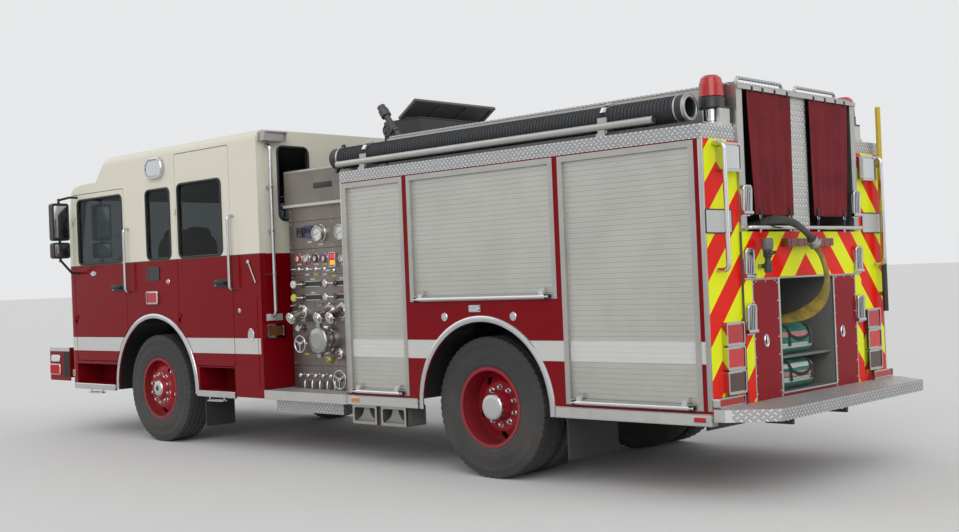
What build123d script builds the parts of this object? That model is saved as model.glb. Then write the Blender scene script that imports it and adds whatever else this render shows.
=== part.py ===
# Fire engine with a custom cab, pump house and locker body. Millimetres.
# +X points forward, +Y to the left, +Z up. The origin is on the ground, halfway along.
from build123d import *
from math import atan2, copysign, cos, degrees, radians, sin, sqrt
import os

os.makedirs("parts", exist_ok=True)

# Lengths along the vehicle, from the rear end to the front end
tailboard_depth = 380
body_length = 3560
body_gap = 20
pump_length = 1020
cab_gap = 150
cab_length = 3540
bumper_gap = 30
bumper_length = 490

# Widths over both sides
body_width = 2500
cab_width = 2440
pump_width = 2060
tyre_outer_width = 2400
bumper_width = 2400

# Heights above the ground
skirt_z = 500
locker_floor_z = 583
locker_top_z = 2353
body_top_z = 2445
hosebed_top_z = 2730
hosebed_floor_z = 1750
tailboard_top_z = 616
sill_z = 790
belt_z = 1815
brow_z = 2690
roof_z = 2945
pump_top_z = 2545

# The gap where one piece rests on, or turns against, another
fit_gap = 0.3

# Axles and wheels
front_axle_setback = 1755
rear_axle_to_body_rear = 2000
tyre_radius = 535
tyre_width = 300
rear_tyre_width = 280
twin_spacing = 340
rim_radius = 292
spindle_radius = 45
spindle_clearance = 0.1
kingpin_radius = 25
kingpin_clearance = 0.1
kingpin_y = 800

# Places worked out from the sizes above
overall_length = (tailboard_depth + body_length + body_gap + pump_length
                  + cab_gap + cab_length + bumper_gap + bumper_length)
rear_x = -overall_length / 2
body_rear_x = rear_x + tailboard_depth
body_front_x = body_rear_x + body_length
pump_rear_x = body_front_x + body_gap
pump_front_x = pump_rear_x + pump_length
cab_rear_x = pump_front_x + cab_gap
cab_front_x = cab_rear_x + cab_length
bumper_rear_x = cab_front_x + bumper_gap
bumper_front_x = bumper_rear_x + bumper_length
front_axle_x = cab_front_x - front_axle_setback
rear_axle_x = body_rear_x + rear_axle_to_body_rear
side_y = body_width / 2
cab_y = cab_width / 2
pump_y = pump_width / 2
front_wheel_y = (tyre_outer_width - tyre_width) / 2
rear_wheel_y = (tyre_outer_width - rear_tyre_width) / 2

# Chassis
rail_y = 430
rail_height = 260
rail_flange = 80
rail_wall = 9
rail_top_z = 960
rail_rear_inset = 910
sub_rail_z = (528, 600)
rail_front_inset = 250

# Cab panels
wall = 50
door_gap = 7
roof_round = 90
corner_round = 140
cab_floor_z = 860
cab_floor_thickness = 50
tunnel_y = 520
tunnel_top_z = 1430
tunnel_wall = 20
tunnel_rear_setback = 2640
front_skin = 16
arch_radius = 705
well_wall = 15
well_box_top_z = 1272
well_open_y = 860
hump_top_z = 1012

# Locker body
arch_radius_rear = 650
arch_trim_width = 48
locker_inner_y = 560
hosebed_y = 840
shutter_pocket = 50
frame_width = 42
frame_proud = 3
curtain_thickness = 14
curtain_setback = 36
rear_plate = 20


def block(x0, x1, y0, y1, z0, z1):
    """A box between two opposite corners."""
    place = Pos((x0 + x1) / 2, (y0 + y1) / 2, (z0 + z1) / 2)
    return place * Box(abs(x1 - x0), abs(y1 - y0), abs(z1 - z0))


def rod(axis, x, y, z, start, end, radius):
    """A round bar along X, Y or Z. The place on its own axis is replaced by start and end."""
    middle = (start + end) / 2
    centre = {"X": (middle, y, z), "Y": (x, middle, z), "Z": (x, y, middle)}[axis]
    turn = {"X": (0, 90, 0), "Y": (90, 0, 0), "Z": (0, 0, 0)}[axis]
    return Pos(*centre) * Rot(*turn) * Cylinder(radius, abs(end - start))


def outline_y(points, y0, y1):
    """A closed outline of (x, z) points, made solid from y0 to y1."""
    face = make_face(Polyline(*[(x, 0, z) for x, z in points], close=True))
    solid = extrude(face, amount=y1 - y0, dir=(0, 1, 0))
    return Pos(0, y0, 0) * solid


def outline_x(points, x0, x1):
    """A closed outline of (y, z) points, made solid from x0 to x1."""
    face = make_face(Polyline(*[(0, y, z) for y, z in points], close=True))
    return Pos(x0, 0, 0) * extrude(face, amount=x1 - x0, dir=(1, 0, 0))


def outline_z(points, z0, z1):
    """A closed outline of (x, y) points, made solid from z0 to z1."""
    face = make_face(Polyline(*[(x, y, 0) for x, y in points], close=True))
    return Pos(0, 0, z0) * extrude(face, amount=z1 - z0, dir=(0, 0, 1))


def window(x0, x1, z0, z1, round_radius, y0, y1):
    """A rectangle with rounded corners seen from the side, made solid from y0 to y1."""
    centre = Pos((x0 + x1) / 2, y0, (z0 + z1) / 2) * Rot(-90, 0, 0)
    face = centre * RectangleRounded(x1 - x0, z1 - z0, round_radius)
    return extrude(face, amount=y1 - y0, dir=(0, 1, 0))


def window_x(y0, y1, z0, z1, round_radius, x0, x1):
    """A rectangle with rounded corners seen from the end, made solid from x0 to x1."""
    centre = Pos(x0, (y0 + y1) / 2, (z0 + z1) / 2) * Rot(0, 90, 0)
    face = centre * RectangleRounded(z1 - z0, y1 - y0, round_radius)
    return extrude(face, amount=x1 - x0, dir=(1, 0, 0))


def tube(points, bend, radius):
    """A round bar along straight runs with one bend radius at each corner."""
    path = FilletPolyline(*points, radius=bend)
    return sweep(Plane(path @ 0, z_dir=path % 0) * Circle(radius), path=path)


def other_side(shape):
    """The same piece on the other side of the vehicle."""
    return mirror(shape, about=Plane.XZ)


def both(shape):
    """The piece and its mirror image."""
    return [shape, other_side(shape)]


def save(name, shapes):
    """Writes one sub-part from a shape or a list of shapes."""
    listed = shapes if isinstance(shapes, list) else [shapes]
    solids = [solid for shape in listed for solid in shape.solids()]
    export_step(Compound(children=solids), f"parts/{name}.step")


# Chassis frame: two channel rails, cross members, cab pivots, tow eyes and the fuel tank
rail_front_x = cab_front_x - rail_front_inset
rail_rear_x = body_rear_x + rail_rear_inset
rail_bottom_z = rail_top_z - rail_height
pivot_x = cab_front_x - 130
pivot_z = rail_top_z + 30
pivot_radius = 22
pivot_clearance = 0.1
pivot_bracket_y = (rail_y - 30, rail_y + 30)
pivot_pin_end_y = tunnel_y - 8
tow_eye_radius = 30
tow_eye_thickness = 30
shaft_room = 120
flap_y = (600, 1180)
flap_bar_z = 480
flap_bar_radius = 14
flap_bracket = 12
flap_thickness = 12
rear_flap_x = rear_axle_x - 745
front_flap_x = front_axle_x - 785
fuel_tank_y = rail_y - rail_flange - 30
fuel_tank_z = (530, 880)
cross_half = 35


def channel_rail():
    """The left rail, a channel open towards the middle."""
    web = block(rail_rear_x, rail_front_x, rail_y - rail_wall, rail_y, rail_bottom_z, rail_top_z)
    shape = web
    for z in (rail_bottom_z, rail_top_z - rail_wall):
        shape += block(rail_rear_x, rail_front_x, rail_y - rail_flange, rail_y, z, z + rail_wall)
    return shape


def sub_rail():
    """The lower rail bolted under the left rail's rear end, with its tow eye."""
    low, high = sub_rail_z
    y0, y1 = rail_y - rail_flange, rail_y
    rail = block(body_rear_x, rail_rear_x + 120, y0, y1, low, high)
    rail += block(rail_rear_x, rail_rear_x + 120, y0, y1, low, rail_bottom_z - fit_gap)
    middle = rail_y - rail_flange / 2
    eye = block(body_rear_x - 90, body_rear_x + 120, middle - tow_eye_thickness / 2,
                middle + tow_eye_thickness / 2, low - 100, low + 1)
    return rail + eye - rod("Y", body_rear_x - 45, 0, low - 50, middle - 40, middle + 40, tow_eye_radius)


def chassis_frame():
    """Rails joined by cross members, the lower rear rails and the fuel tank."""
    frame = channel_rail() + other_side(channel_rail())
    inner = rail_y - rail_wall
    cross_places = [rail_rear_x + 40, rear_axle_x - 420, rear_axle_x + 750,
                    pump_rear_x - 300, pump_front_x + 100, front_axle_x - 1020]
    for x in cross_places:
        member = block(x - cross_half, x + cross_half, -inner, inner, rail_bottom_z + 40, rail_top_z - 40)
        frame += member - block(x - 40, x + 40, -shaft_room, shaft_room, 0, rail_top_z - 80)
    frame += block(rail_front_x - 90, rail_front_x, -inner, inner, rail_bottom_z, rail_bottom_z + 120)
    horn_front = bumper_rear_x - 5
    for y in (rail_y, -rail_y):
        frame += block(rail_front_x - 10, horn_front, y - 40, y + 40, rail_bottom_z, rail_bottom_z + 90)
        near_y, far_y = sorted(copysign(edge, y) for edge in pivot_bracket_y)
        frame += block(pivot_x - 38, pivot_x + 38, near_y, far_y, rail_bottom_z + 80, pivot_z)
        frame += rod("Y", pivot_x, 0, pivot_z, near_y, far_y, 38)
        near_y, far_y = sorted((y, copysign(pivot_pin_end_y, y)))
        frame += rod("Y", pivot_x, 0, pivot_z, near_y, far_y, pivot_radius)
    for side in (1, -1):
        for x in (rear_flap_x, front_flap_x):
            y0, y1 = sorted((side * (rail_y - rail_wall), side * (rail_y + flap_bracket)))
            frame += block(x - 30, x + 30, y0, y1, flap_bar_z - 20, rail_bottom_z + 60)
    tank_gap = cross_half + fit_gap
    tank = block(cross_places[0] + tank_gap, cross_places[1] - tank_gap, -fuel_tank_y, fuel_tank_y, *fuel_tank_z)
    return [frame, fillet(tank.edges().filter_by(Axis.X), 45)] + both(sub_rail())


# Front spring and axle, rear spring and axle
spring_width = 90
spring_leaf = 14
front_spring_half = 700
rear_spring_half = 650
front_beam_z = 430
rear_tube_radius = 75
leaf_camber = 60


def spring_pack(x, half, top_z, leaves, y):
    """A pack of leaves that get shorter towards the bottom, bowed down in the middle."""
    pack = None
    for leaf in range(leaves):
        reach = half * (1 - 0.13 * leaf)
        drop = spring_leaf * leaf
        sag = leaf_camber * (1 - (reach / half) ** 2)
        ends_z = top_z - sag - drop
        middle_z = top_z - leaf_camber - drop
        upper = ThreePointArc((x - reach, 0, ends_z), (x, 0, middle_z), (x + reach, 0, ends_z))
        lower = ThreePointArc((x + reach, 0, ends_z - spring_leaf), (x, 0, middle_z - spring_leaf),
                              (x - reach, 0, ends_z - spring_leaf))
        sides = [Line(upper @ 1, lower @ 0), Line(lower @ 1, upper @ 0)]
        face = make_face([upper, lower] + sides)
        solid = Pos(0, y - spring_width / 2, 0) * extrude(face, amount=spring_width, dir=(0, 1, 0))
        pack = solid if pack is None else pack + solid
    return pack


def spring_with_hangers(x, half, leaves, y):
    """A spring pack with an eye hanger at each end, up to the rail."""
    top_z = rail_bottom_z - 70
    shape = spring_pack(x, half, top_z, leaves, y)
    for end in (-1, 1):
        eye_x = x + end * half
        shape += rod("Y", eye_x, 0, top_z - 5, y - spring_width / 2, y + spring_width / 2, 28)
        shape += block(eye_x - 40, eye_x + 40, y - 30, y + 30, top_z, rail_bottom_z)
    return shape


def axles():
    """Both axles with their springs. Each axle is one solid with its spring packs."""
    spring_y = rail_y - rail_flange / 2
    front_leaves, rear_leaves = 3, 5
    front_seat_z = rail_bottom_z - 70 - leaf_camber - spring_leaf * front_leaves
    beam = block(front_axle_x - 45, front_axle_x + 45, -kingpin_y + 90, kingpin_y - 90,
                 front_beam_z - 60, front_beam_z + 40)
    for y in (spring_y, -spring_y):
        beam += block(front_axle_x - 60, front_axle_x + 60, y - 50, y + 50, front_beam_z, front_seat_z + 2)
        beam += spring_with_hangers(front_axle_x, front_spring_half, front_leaves, y)
    for y in (kingpin_y, -kingpin_y):
        eye = block(front_axle_x - 45, front_axle_x + 45, min(y, y * 0.86), max(y, y * 0.86),
                    tyre_radius - 60, tyre_radius + 60)
        eye += rod("Z", front_axle_x, y, 0, tyre_radius - 60, tyre_radius + 60, 48)
        rise_y = y * 0.885
        eye += block(front_axle_x - 45, front_axle_x + 45, rise_y - 25, rise_y + 25,
                     front_beam_z - 60, tyre_radius + 60)
        eye -= rod("Z", front_axle_x, y, 0, 0, 2 * tyre_radius, kingpin_radius + kingpin_clearance)
        beam += eye
    seat_z = rail_bottom_z - 70 - leaf_camber - spring_leaf * rear_leaves
    tube_end = rear_wheel_y - twin_spacing - rear_tyre_width / 2 - 30
    housing = rod("Y", rear_axle_x, 0, tyre_radius, -tube_end, tube_end, rear_tube_radius)
    housing += Pos(rear_axle_x, 0, tyre_radius) * Sphere(200)
    housing += rod("X", 0, 0, tyre_radius, rear_axle_x, rear_axle_x + 330, 85)
    spindle_end = rear_wheel_y + 20
    housing += rod("Y", rear_axle_x, 0, tyre_radius, -spindle_end, spindle_end, spindle_radius)
    for y in (spring_y, -spring_y):
        housing += spring_with_hangers(rear_axle_x, rear_spring_half, rear_leaves, y)
        housing += block(rear_axle_x - 60, rear_axle_x + 60, y - 45, y + 45, seat_z - 100, seat_z + 2)
    return [beam, housing]


# Engine, gearbox, shafts, radiator: the heavy masses that show from below
engine_front_x = front_axle_x + 1050
engine_rear_x = front_axle_x - 250
engine_y = rail_y - rail_flange - 20
gearbox_length = 585


def drivetrain():
    """Engine as a plain block, gearbox, propeller shaft and radiator."""
    engine = block(engine_rear_x, engine_front_x, -engine_y, engine_y, rail_bottom_z - 90, 1340)
    box = rod("X", 0, 0, 860, engine_rear_x - gearbox_length, engine_rear_x, 230)
    shaft_end = rear_axle_x + 334
    shaft_path = Line((engine_rear_x - gearbox_length, 0, 820), (shaft_end, 0, tyre_radius + 20))
    shaft = sweep(Plane(shaft_path @ 0, z_dir=shaft_path % 0) * Circle(48), path=shaft_path)
    radiator_x = cab_front_x - 480
    radiator = block(radiator_x, radiator_x + 110, -engine_y, engine_y, rail_bottom_z - 40, 1330)
    foot_y = rail_y - rail_wall - fit_gap
    for x in (engine_front_x - 150, engine_rear_x + 200):
        engine += block(x - 50, x + 50, -foot_y, foot_y, rail_bottom_z + 40, rail_bottom_z + 100)
    radiator += block(radiator_x + 20, radiator_x + 90, -foot_y, foot_y, rail_bottom_z + 40, rail_bottom_z + 100)
    return [engine + box + shaft, radiator]


# Wheels. Each profile is (radius, offset from the wheel's middle), turned about the axle.
bead_radius = 292
rim_lip = 14


def turned(points, x, y, z):
    """A closed outline of (radius, y offset) points turned about the axle line."""
    face = make_face(Polyline(*[(r, o, 0) for r, o in points], close=True))
    return Pos(x, y, z) * revolve(face, axis=Axis.Y)


def tyre(x, y, width):
    """A tyre with bulged side walls and a flat tread."""
    half = width / 2
    tread_half = half - 28
    shoulder = tyre_radius - 28
    mid = (bead_radius + shoulder) / 2
    right = Line((bead_radius, half - 32, 0), (bead_radius + 20, half - 12, 0))
    wall_arc = ThreePointArc((bead_radius + 20, half - 12, 0), (mid, half, 0), (shoulder, half - 10, 0))
    top = ThreePointArc((shoulder, half - 10, 0), (tyre_radius - 6, half - 17, 0), (tyre_radius, tread_half, 0))
    tread = Line((tyre_radius, tread_half, 0), (tyre_radius, -tread_half, 0))
    low = ThreePointArc((tyre_radius, -tread_half, 0), (tyre_radius - 6, 17 - half, 0), (shoulder, 10 - half, 0))
    wall_low = ThreePointArc((shoulder, 10 - half, 0), (mid, -half, 0), (bead_radius + 20, 12 - half, 0))
    left = Line((bead_radius + 20, 12 - half, 0), (bead_radius, 32 - half, 0))
    inside = Line((bead_radius, 32 - half, 0), (bead_radius, half - 32, 0))
    face = make_face([right, wall_arc, top, tread, low, wall_low, left, inside])
    return Pos(x, y, tyre_radius) * revolve(face, axis=Axis.Y)


hub_bore = spindle_radius + spindle_clearance
hand_hole_count = 5
hand_hole_radius = 33
hand_hole_circle = 226
hand_hole_start = 19
hub_cap_depth = 34
hub_cap_height = 14
front_cap_radius = 76
rear_cap_radius = 100


def rim(x, y, width, side, disc_offset, hub_length, cap_radius=0):
    """A steel rim: barrel with two lips, a coned disc with hand holes, the hub and its cap.

    disc_offset is how far the disc lies outside the rim's middle, negative for a deep dish.
    A cap_radius of 0 leaves the hub open.
    """
    half = width / 2 - 32
    barrel = turned([(bead_radius, -half), (bead_radius, half), (bead_radius + rim_lip, half + rim_lip),
                     (bead_radius + rim_lip, half + rim_lip + 8), (bead_radius - 14, half + rim_lip + 8),
                     (bead_radius - 22, half - 30), (bead_radius - 22, 30 - half),
                     (bead_radius - 14, -half - rim_lip - 8), (bead_radius + rim_lip, -half - rim_lip - 8),
                     (bead_radius + rim_lip, -half - rim_lip)], 0, 0, 0)
    lift = side * disc_offset
    cone = side * 34
    disc = turned([(hub_bore, lift), (hub_bore, lift + side * 16), (185, lift + side * 16),
                   (245, lift + side * 16 - cone), (bead_radius - 16, lift + side * 16 - cone),
                   (bead_radius - 16, lift - cone), (245, lift - cone), (185, lift)], 0, 0, 0)
    hub = turned([(hub_bore, lift - side * 60), (hub_bore, lift + side * hub_length),
                  (82, lift + side * hub_length), (96, lift + side * (hub_length - 14)),
                  (112, lift + side * 16), (112, lift - side * 60)], 0, 0, 0)
    shape = barrel + disc + hub
    if cap_radius:
        end = lift + side * hub_length
        shape += turned([(hub_bore, end - side * hub_cap_depth), (cap_radius, end - side * hub_cap_depth),
                         (cap_radius, end), (cap_radius - 8, end + side * hub_cap_height * 0.7),
                         (cap_radius - 30, end + side * hub_cap_height), (0, end + side * hub_cap_height),
                         (0, end - side * 1), (hub_bore, end - side * 1)], 0, 0, 0)
    for step in range(hand_hole_count):
        turn = hand_hole_start + 360 / hand_hole_count * step
        hole = Rot(0, turn, 0) * Pos(hand_hole_circle, 0, 0) * Rot(90, 0, 0) * Cylinder(hand_hole_radius, 900)
        shape -= hole & Rot(0, turn, 0) * Pos(hand_hole_circle, lift, 0) * Box(120, 120, 120)
    return Pos(x, y, tyre_radius) * shape


front_disc_offset = 96
front_hub_length = 58
rear_disc_offset = -18
rear_hub_length = 120
well_centre_x = front_axle_x + 15

for label, side in (("left", 1), ("right", -1)):
    wheel_y = side * front_wheel_y
    save(f"tyre_front_{label}", tyre(front_axle_x, wheel_y, tyre_width))
    save(f"rim_front_{label}", rim(front_axle_x, wheel_y, tyre_width, side, front_disc_offset, front_hub_length,
                                   front_cap_radius))
    outer_y = side * rear_wheel_y
    inner_y = side * (rear_wheel_y - twin_spacing)
    save(f"tyres_rear_{label}", [tyre(rear_axle_x, outer_y, rear_tyre_width),
                                 tyre(rear_axle_x, inner_y, rear_tyre_width)])
    outer_rim = rim(rear_axle_x, outer_y, rear_tyre_width, side, rear_disc_offset, rear_hub_length,
                    rear_cap_radius)
    inner_rim = rim(rear_axle_x, inner_y, rear_tyre_width, -side, -40, 30)
    joiner = turned([(hub_bore, side * 60), (hub_bore, side * (twin_spacing - 60)),
                     (105, side * (twin_spacing - 60)), (105, side * 60)], rear_axle_x, inner_y, tyre_radius)
    save(f"rims_rear_{label}", outer_rim + inner_rim + joiner)

# Steering knuckles: a fork round the axle's eye, the kingpin and the wheel's spindle
knuckle_gap = 6
steering_arm_length = 190


def knuckle(side):
    """The knuckle on one side, with its pin through the axle's eye."""
    y = side * kingpin_y
    low_z = tyre_radius - 60 - knuckle_gap
    high_z = tyre_radius + 60 + knuckle_gap
    shape = rod("Z", front_axle_x, y, 0, low_z - 28, high_z + 28, kingpin_radius)
    for z0, z1 in ((low_z - 28, low_z), (high_z, high_z + 28)):
        shape += rod("Z", front_axle_x, y, 0, z0, z1, 46)
        y0, y1 = sorted((y, y + side * 95))
        shape += block(front_axle_x - 46, front_axle_x + 46, y0, y1, z0, z1)
    y0, y1 = sorted((y + side * 62, y + side * 95))
    shape += block(front_axle_x - 46, front_axle_x + 46, y0, y1, low_z, high_z)
    spindle_end = side * (front_wheel_y + front_disc_offset + front_hub_length - 8)
    y0, y1 = sorted((y + side * 90, spindle_end))
    shape += rod("Y", front_axle_x, 0, tyre_radius, y0, y1, spindle_radius)
    y0, y1 = sorted((y - side * 20, y + side * 20))
    shape += block(front_axle_x - steering_arm_length, front_axle_x - 20, y0, y1, low_z - 28, low_z - 6)
    return shape


save("steering_knuckle_left", knuckle(1))
save("steering_knuckle_right", knuckle(-1))
save("chassis_frame", chassis_frame())
save("axles", axles())
save("drivetrain", drivetrain())

# Cab. Distances along the cab are measured back from its front face.
# Each row: name, front edge, rear edge, bottom, top
front_door = (190, 1250, sill_z, 2590)
crew_door = (2200, 3110, sill_z - 15, 2848)
# Windows. Each row: front edge, rear edge, bottom, top
front_door_window = (300, 1205, 1830, 2525)
quarter_window = (1670, 2100, 1830, 2525)
crew_door_window = (2245, 2970, 1830, 2545)
window_round = 55
glass_thickness = 6
glass_inset = 14
window_rebate = 12
windscreen_rake = 170
brow_reach = 700
roof_slope_reach = 930
nose_z = 1790

# Step wells. Each row: front edge, rear edge, bottom, top, depth
front_well = (180, 1020, 548, 760, 330)
crew_well = (2516, 3096, 545, 765, 330)
step_lip = (22, 60)
stirrup_half = (125, 48)
stirrup_z = 452


def cab_profile(inset):
    """The cab's side outline, moved inwards by inset."""
    front = cab_front_x
    points = [(cab_rear_x, skirt_z), (front, skirt_z), (front, nose_z),
              (front - windscreen_rake, brow_z - 80), (front - windscreen_rake - 60, brow_z - 25),
              (front - windscreen_rake - 250, brow_z), (front - brow_reach, brow_z),
              (front - roof_slope_reach, roof_z), (cab_rear_x, roof_z)]
    face = make_face(Polyline(*[(x, z) for x, z in points], close=True))
    if inset:
        face = offset(face, amount=-inset, kind=Kind.INTERSECTION)
    return face


def cab_inside():
    """The space inside the cab's panels, square in its corners, down to the open underside."""
    side = Plane.XZ * cab_profile(wall)
    return extrude(side, amount=cab_y - wall, both=True)


def cab_body():
    """The cab's outer form, where its side, plan and end outlines meet."""
    side = Plane.XZ * cab_profile(0)
    long_solid = extrude(side, amount=cab_y, both=True)
    plan = Pos((cab_front_x + cab_rear_x) / 2, 0, 0) * Rectangle(cab_length, cab_width)
    front_corners = plan.vertices().filter_by_position(Axis.X, cab_front_x - 1, cab_front_x)
    plan = fillet(front_corners, corner_round)
    plan_solid = extrude(plan, amount=roof_z + 100)
    end_face = Pos(0, (roof_z + skirt_z - 100) / 2) * Rectangle(cab_width, roof_z - skirt_z + 100)
    top_corners = end_face.vertices().group_by(Axis.Y)[-1]
    end_face = fillet(top_corners, roof_round)
    end_solid = Pos(cab_rear_x - 50, 0, 0) * extrude(Plane.YZ * end_face, amount=cab_length + 100)
    return long_solid & plan_solid & end_solid


def along_cab(setback):
    """The X place of a distance measured back from the cab's front."""
    return cab_front_x - setback


def door_opening(row, gap, y0, y1):
    """The form of a door, smaller by gap all round, with the wheel arch cut out of its corner."""
    front, rear, bottom, top = row
    form = window(along_cab(rear) + gap, along_cab(front) - gap, bottom + gap, top - gap, 28, y0, y1)
    arch = rod("Y", well_centre_x, 0, tyre_radius, y0 - 10, y1 + 10, arch_radius + arch_trim_width + 12 + gap)
    return form - arch


def window_form(row, grow, y0, y1):
    """A cab window's form, larger by grow all round."""
    front, rear, bottom, top = row
    return window(along_cab(rear) - grow, along_cab(front) + grow, bottom - grow, top + grow,
                  window_round + grow, y0, y1)


def windscreen(grow, deep):
    """The windscreen's form, square to the raked front."""
    low_x, low_z = cab_front_x, nose_z
    rake = windscreen_rake
    rise = brow_z - 80 - nose_z
    lean = degrees(atan2(rake, rise))
    length = sqrt(rake ** 2 + rise ** 2)
    middle = Pos(low_x - rake / 2, 0, low_z + rise / 2) * Rot(0, -lean, 0)
    face = Rot(0, 90, 0) * RectangleRounded(length - 110 + 2 * grow, cab_width - 330 + 2 * grow, 70 + grow)
    return middle * extrude(face, amount=deep, dir=(1, 0, 0), both=True)


def cab_shell():
    """The cab with its openings, floor, engine tunnel, wheel wells and step wells."""
    shell = cab_body()
    cabin = cab_inside() - block(cab_rear_x, cab_front_x, -cab_y, cab_y, 0, cab_floor_z)
    shell -= cabin
    under = block(cab_rear_x + wall, cab_front_x - wall, wall - cab_y, cab_y - wall, 0,
                  cab_floor_z - cab_floor_thickness)
    shell -= under
    nose_cut_y = cab_y - 130
    shell -= block(cab_front_x - wall - 60, cab_front_x + 10, -nose_cut_y, nose_cut_y, 0, 800)
    tunnel_rear_x = along_cab(tunnel_rear_setback)
    tunnel = block(tunnel_rear_x, cab_front_x - wall, -tunnel_y, tunnel_y, cab_floor_z - cab_floor_thickness,
                   tunnel_top_z)
    hollow = block(tunnel_rear_x + tunnel_wall, cab_front_x - wall - tunnel_wall, tunnel_wall - tunnel_y,
                   tunnel_y - tunnel_wall, 0, tunnel_top_z - tunnel_wall)
    shell += tunnel - hollow
    shell -= hollow
    hump = block(cab_rear_x + 1, tunnel_rear_x + 1, -tunnel_y, tunnel_y, cab_floor_z - cab_floor_thickness,
                 hump_top_z)
    shell += hump
    shell -= block(cab_rear_x - 10, tunnel_rear_x + tunnel_wall + 10, tunnel_wall - tunnel_y,
                   tunnel_y - tunnel_wall, 0, hump_top_z - tunnel_wall)
    nose_inner_x = cab_front_x - front_skin
    shell -= block(pivot_x, nose_inner_x, tunnel_wall - tunnel_y, tunnel_y - tunnel_wall, 0, pivot_z + 15)
    shell -= block(nose_inner_x - 1, cab_front_x + 10, tunnel_wall - tunnel_y, tunnel_y - tunnel_wall, 0, pivot_z - 28)
    well_reach = arch_radius + well_wall
    for side in (1, -1):
        y0, y1 = sorted((side * (pivot_bracket_y[1] + 8), side * (tunnel_y - tunnel_wall + 1)))
        shell += rod("Y", pivot_x, 0, pivot_z, y0, y1, 40)
        y0, y1 = sorted((side * pivot_bracket_y[1], side * (pivot_pin_end_y + 2)))
        shell -= rod("Y", pivot_x, 0, pivot_z, y0, y1, pivot_radius + pivot_clearance)
        y0, y1 = sorted((side * (tunnel_y - 1), side * (cab_y - wall + 1)))
        shell += block(well_centre_x - well_reach, well_centre_x + well_reach, y0, y1,
                       cab_floor_z - cab_floor_thickness, well_box_top_z)
        y0, y1 = sorted((side * well_open_y, side * (cab_y - 1)))
        liner = rod("Y", well_centre_x, 0, tyre_radius, y0, y1, well_reach)
        liner -= block(cab_rear_x, cab_front_x, y0 - 5, y1 + 5, -well_reach, skirt_z)
        shell += liner
        y0, y1 = sorted((side * (tunnel_y + 20), side * (cab_y + 10)))
        shell -= rod("Y", well_centre_x, 0, tyre_radius, y0, y1, arch_radius)
        for front, rear, bottom, top, depth in (front_well, crew_well):
            deep_y = side * (cab_y - depth)
            y0, y1 = sorted((deep_y, side * (cab_y - wall)))
            tray = block(along_cab(rear) - 10, along_cab(front) + 10, y0, y1, bottom - 12,
                         cab_floor_z - cab_floor_thickness + 1)
            shell += tray
            y0, y1 = sorted((deep_y + side * 12, side * (cab_y + 10)))
            shell -= block(along_cab(rear), along_cab(front), y0, y1, bottom, top)
    for row in (front_door, crew_door):
        for y0, y1 in ((cab_y - wall - 30, cab_y + 10), (-cab_y - 10, -cab_y + wall + 30)):
            shell -= door_opening(row, 0, y0, y1)
    for y0, y1 in ((cab_y - wall - 30, cab_y + 10), (-cab_y - 10, wall + 30 - cab_y)):
        shell -= window_form(quarter_window, 0, y0, y1)
    shell -= windscreen(0, 120) - block(cab_rear_x, cab_front_x - 400, -cab_y, cab_y, 0, roof_z)
    for y in (800, -800):
        shell -= window_x(y - 180, y + 180, 2120, 2800, 60, cab_rear_x - 10, cab_rear_x + wall + 10)
    for row in (front_door, crew_door):
        for z in hinge_places_z:
            for knuckle_shape in both(hinge_knuckle(row, z - hinge_height - fit_gap, 1)):
                shell += knuckle_shape
    return shell


def cab_seams():
    """Thin cuts that part the shell into sides, rear wall, roof, front, floors and engine tunnel."""
    inner_y = cab_y - wall
    x0, x1 = cab_rear_x - 10, cab_front_x + 10
    roof_split_x = along_cab(windscreen_rake + 250)
    nose_x = cab_front_x - wall
    seams = both(block(x0, x1, inner_y - fit_gap, inner_y, 0, roof_z + 10))
    seams.append(block(cab_rear_x + wall - fit_gap, cab_rear_x + wall, -inner_y, inner_y, 0, roof_z + 10))
    seams.append(block(roof_split_x, roof_split_x + fit_gap, -inner_y, inner_y, belt_z, roof_z + 10))
    seams.append(block(nose_x, nose_x + fit_gap, -inner_y, inner_y, 0, nose_z - wall))
    seams += both(block(cab_rear_x + wall, nose_x, tunnel_y, tunnel_y + fit_gap, 0, tunnel_top_z + 10))
    return seams


def cab_windows():
    """Fixed panes: windscreen, two quarter windows and two rear windows."""
    panes = []
    screen = windscreen(0, 40) - windscreen(20, 34)
    slab = windscreen(0, 40)
    lean = degrees(atan2(windscreen_rake, brow_z - 80 - nose_z))
    middle = Pos(cab_front_x - windscreen_rake / 2, 0, (nose_z + brow_z - 80) / 2) * Rot(0, -lean, 0)
    keep = middle * Pos(-20, 0, 0) * Box(glass_thickness, cab_width, 1200)
    panes.append(slab & keep)
    outer = cab_y - glass_inset
    pane = window_form(quarter_window, 0, outer - glass_thickness, outer)
    panes += both(pane)
    for y in (800, -800):
        panes.append(window_x(y - 180, y + 180, 2120, 2800, 60, cab_rear_x + 10, cab_rear_x + 10 + glass_thickness))
    return panes


# Door hinges: a knuckle on the cab under a knuckle on the door, both round one upright axis
hinge_radius = 9
hinge_out = 9.5
hinge_height = 44
hinge_leaf = 42
hinge_places_z = (1240, 2300)


def hinge_knuckle(row, z0, direction):
    """A hinge knuckle with its leaf: direction is 1 towards the cab's front, -1 towards the door."""
    x = along_cab(row[0])
    y = cab_y + hinge_out
    x0, x1 = sorted((x, x + direction * hinge_leaf))
    leaf = block(x0, x1, cab_y, y, z0, z0 + hinge_height)
    if direction < 0:
        leaf -= block(x - door_gap + 1, x + 1, cab_y - 1, cab_y + 3, z0 - 1, z0 + hinge_height + 1)
    return leaf + rod("Z", x, y, 0, z0, z0 + hinge_height, hinge_radius)


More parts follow.
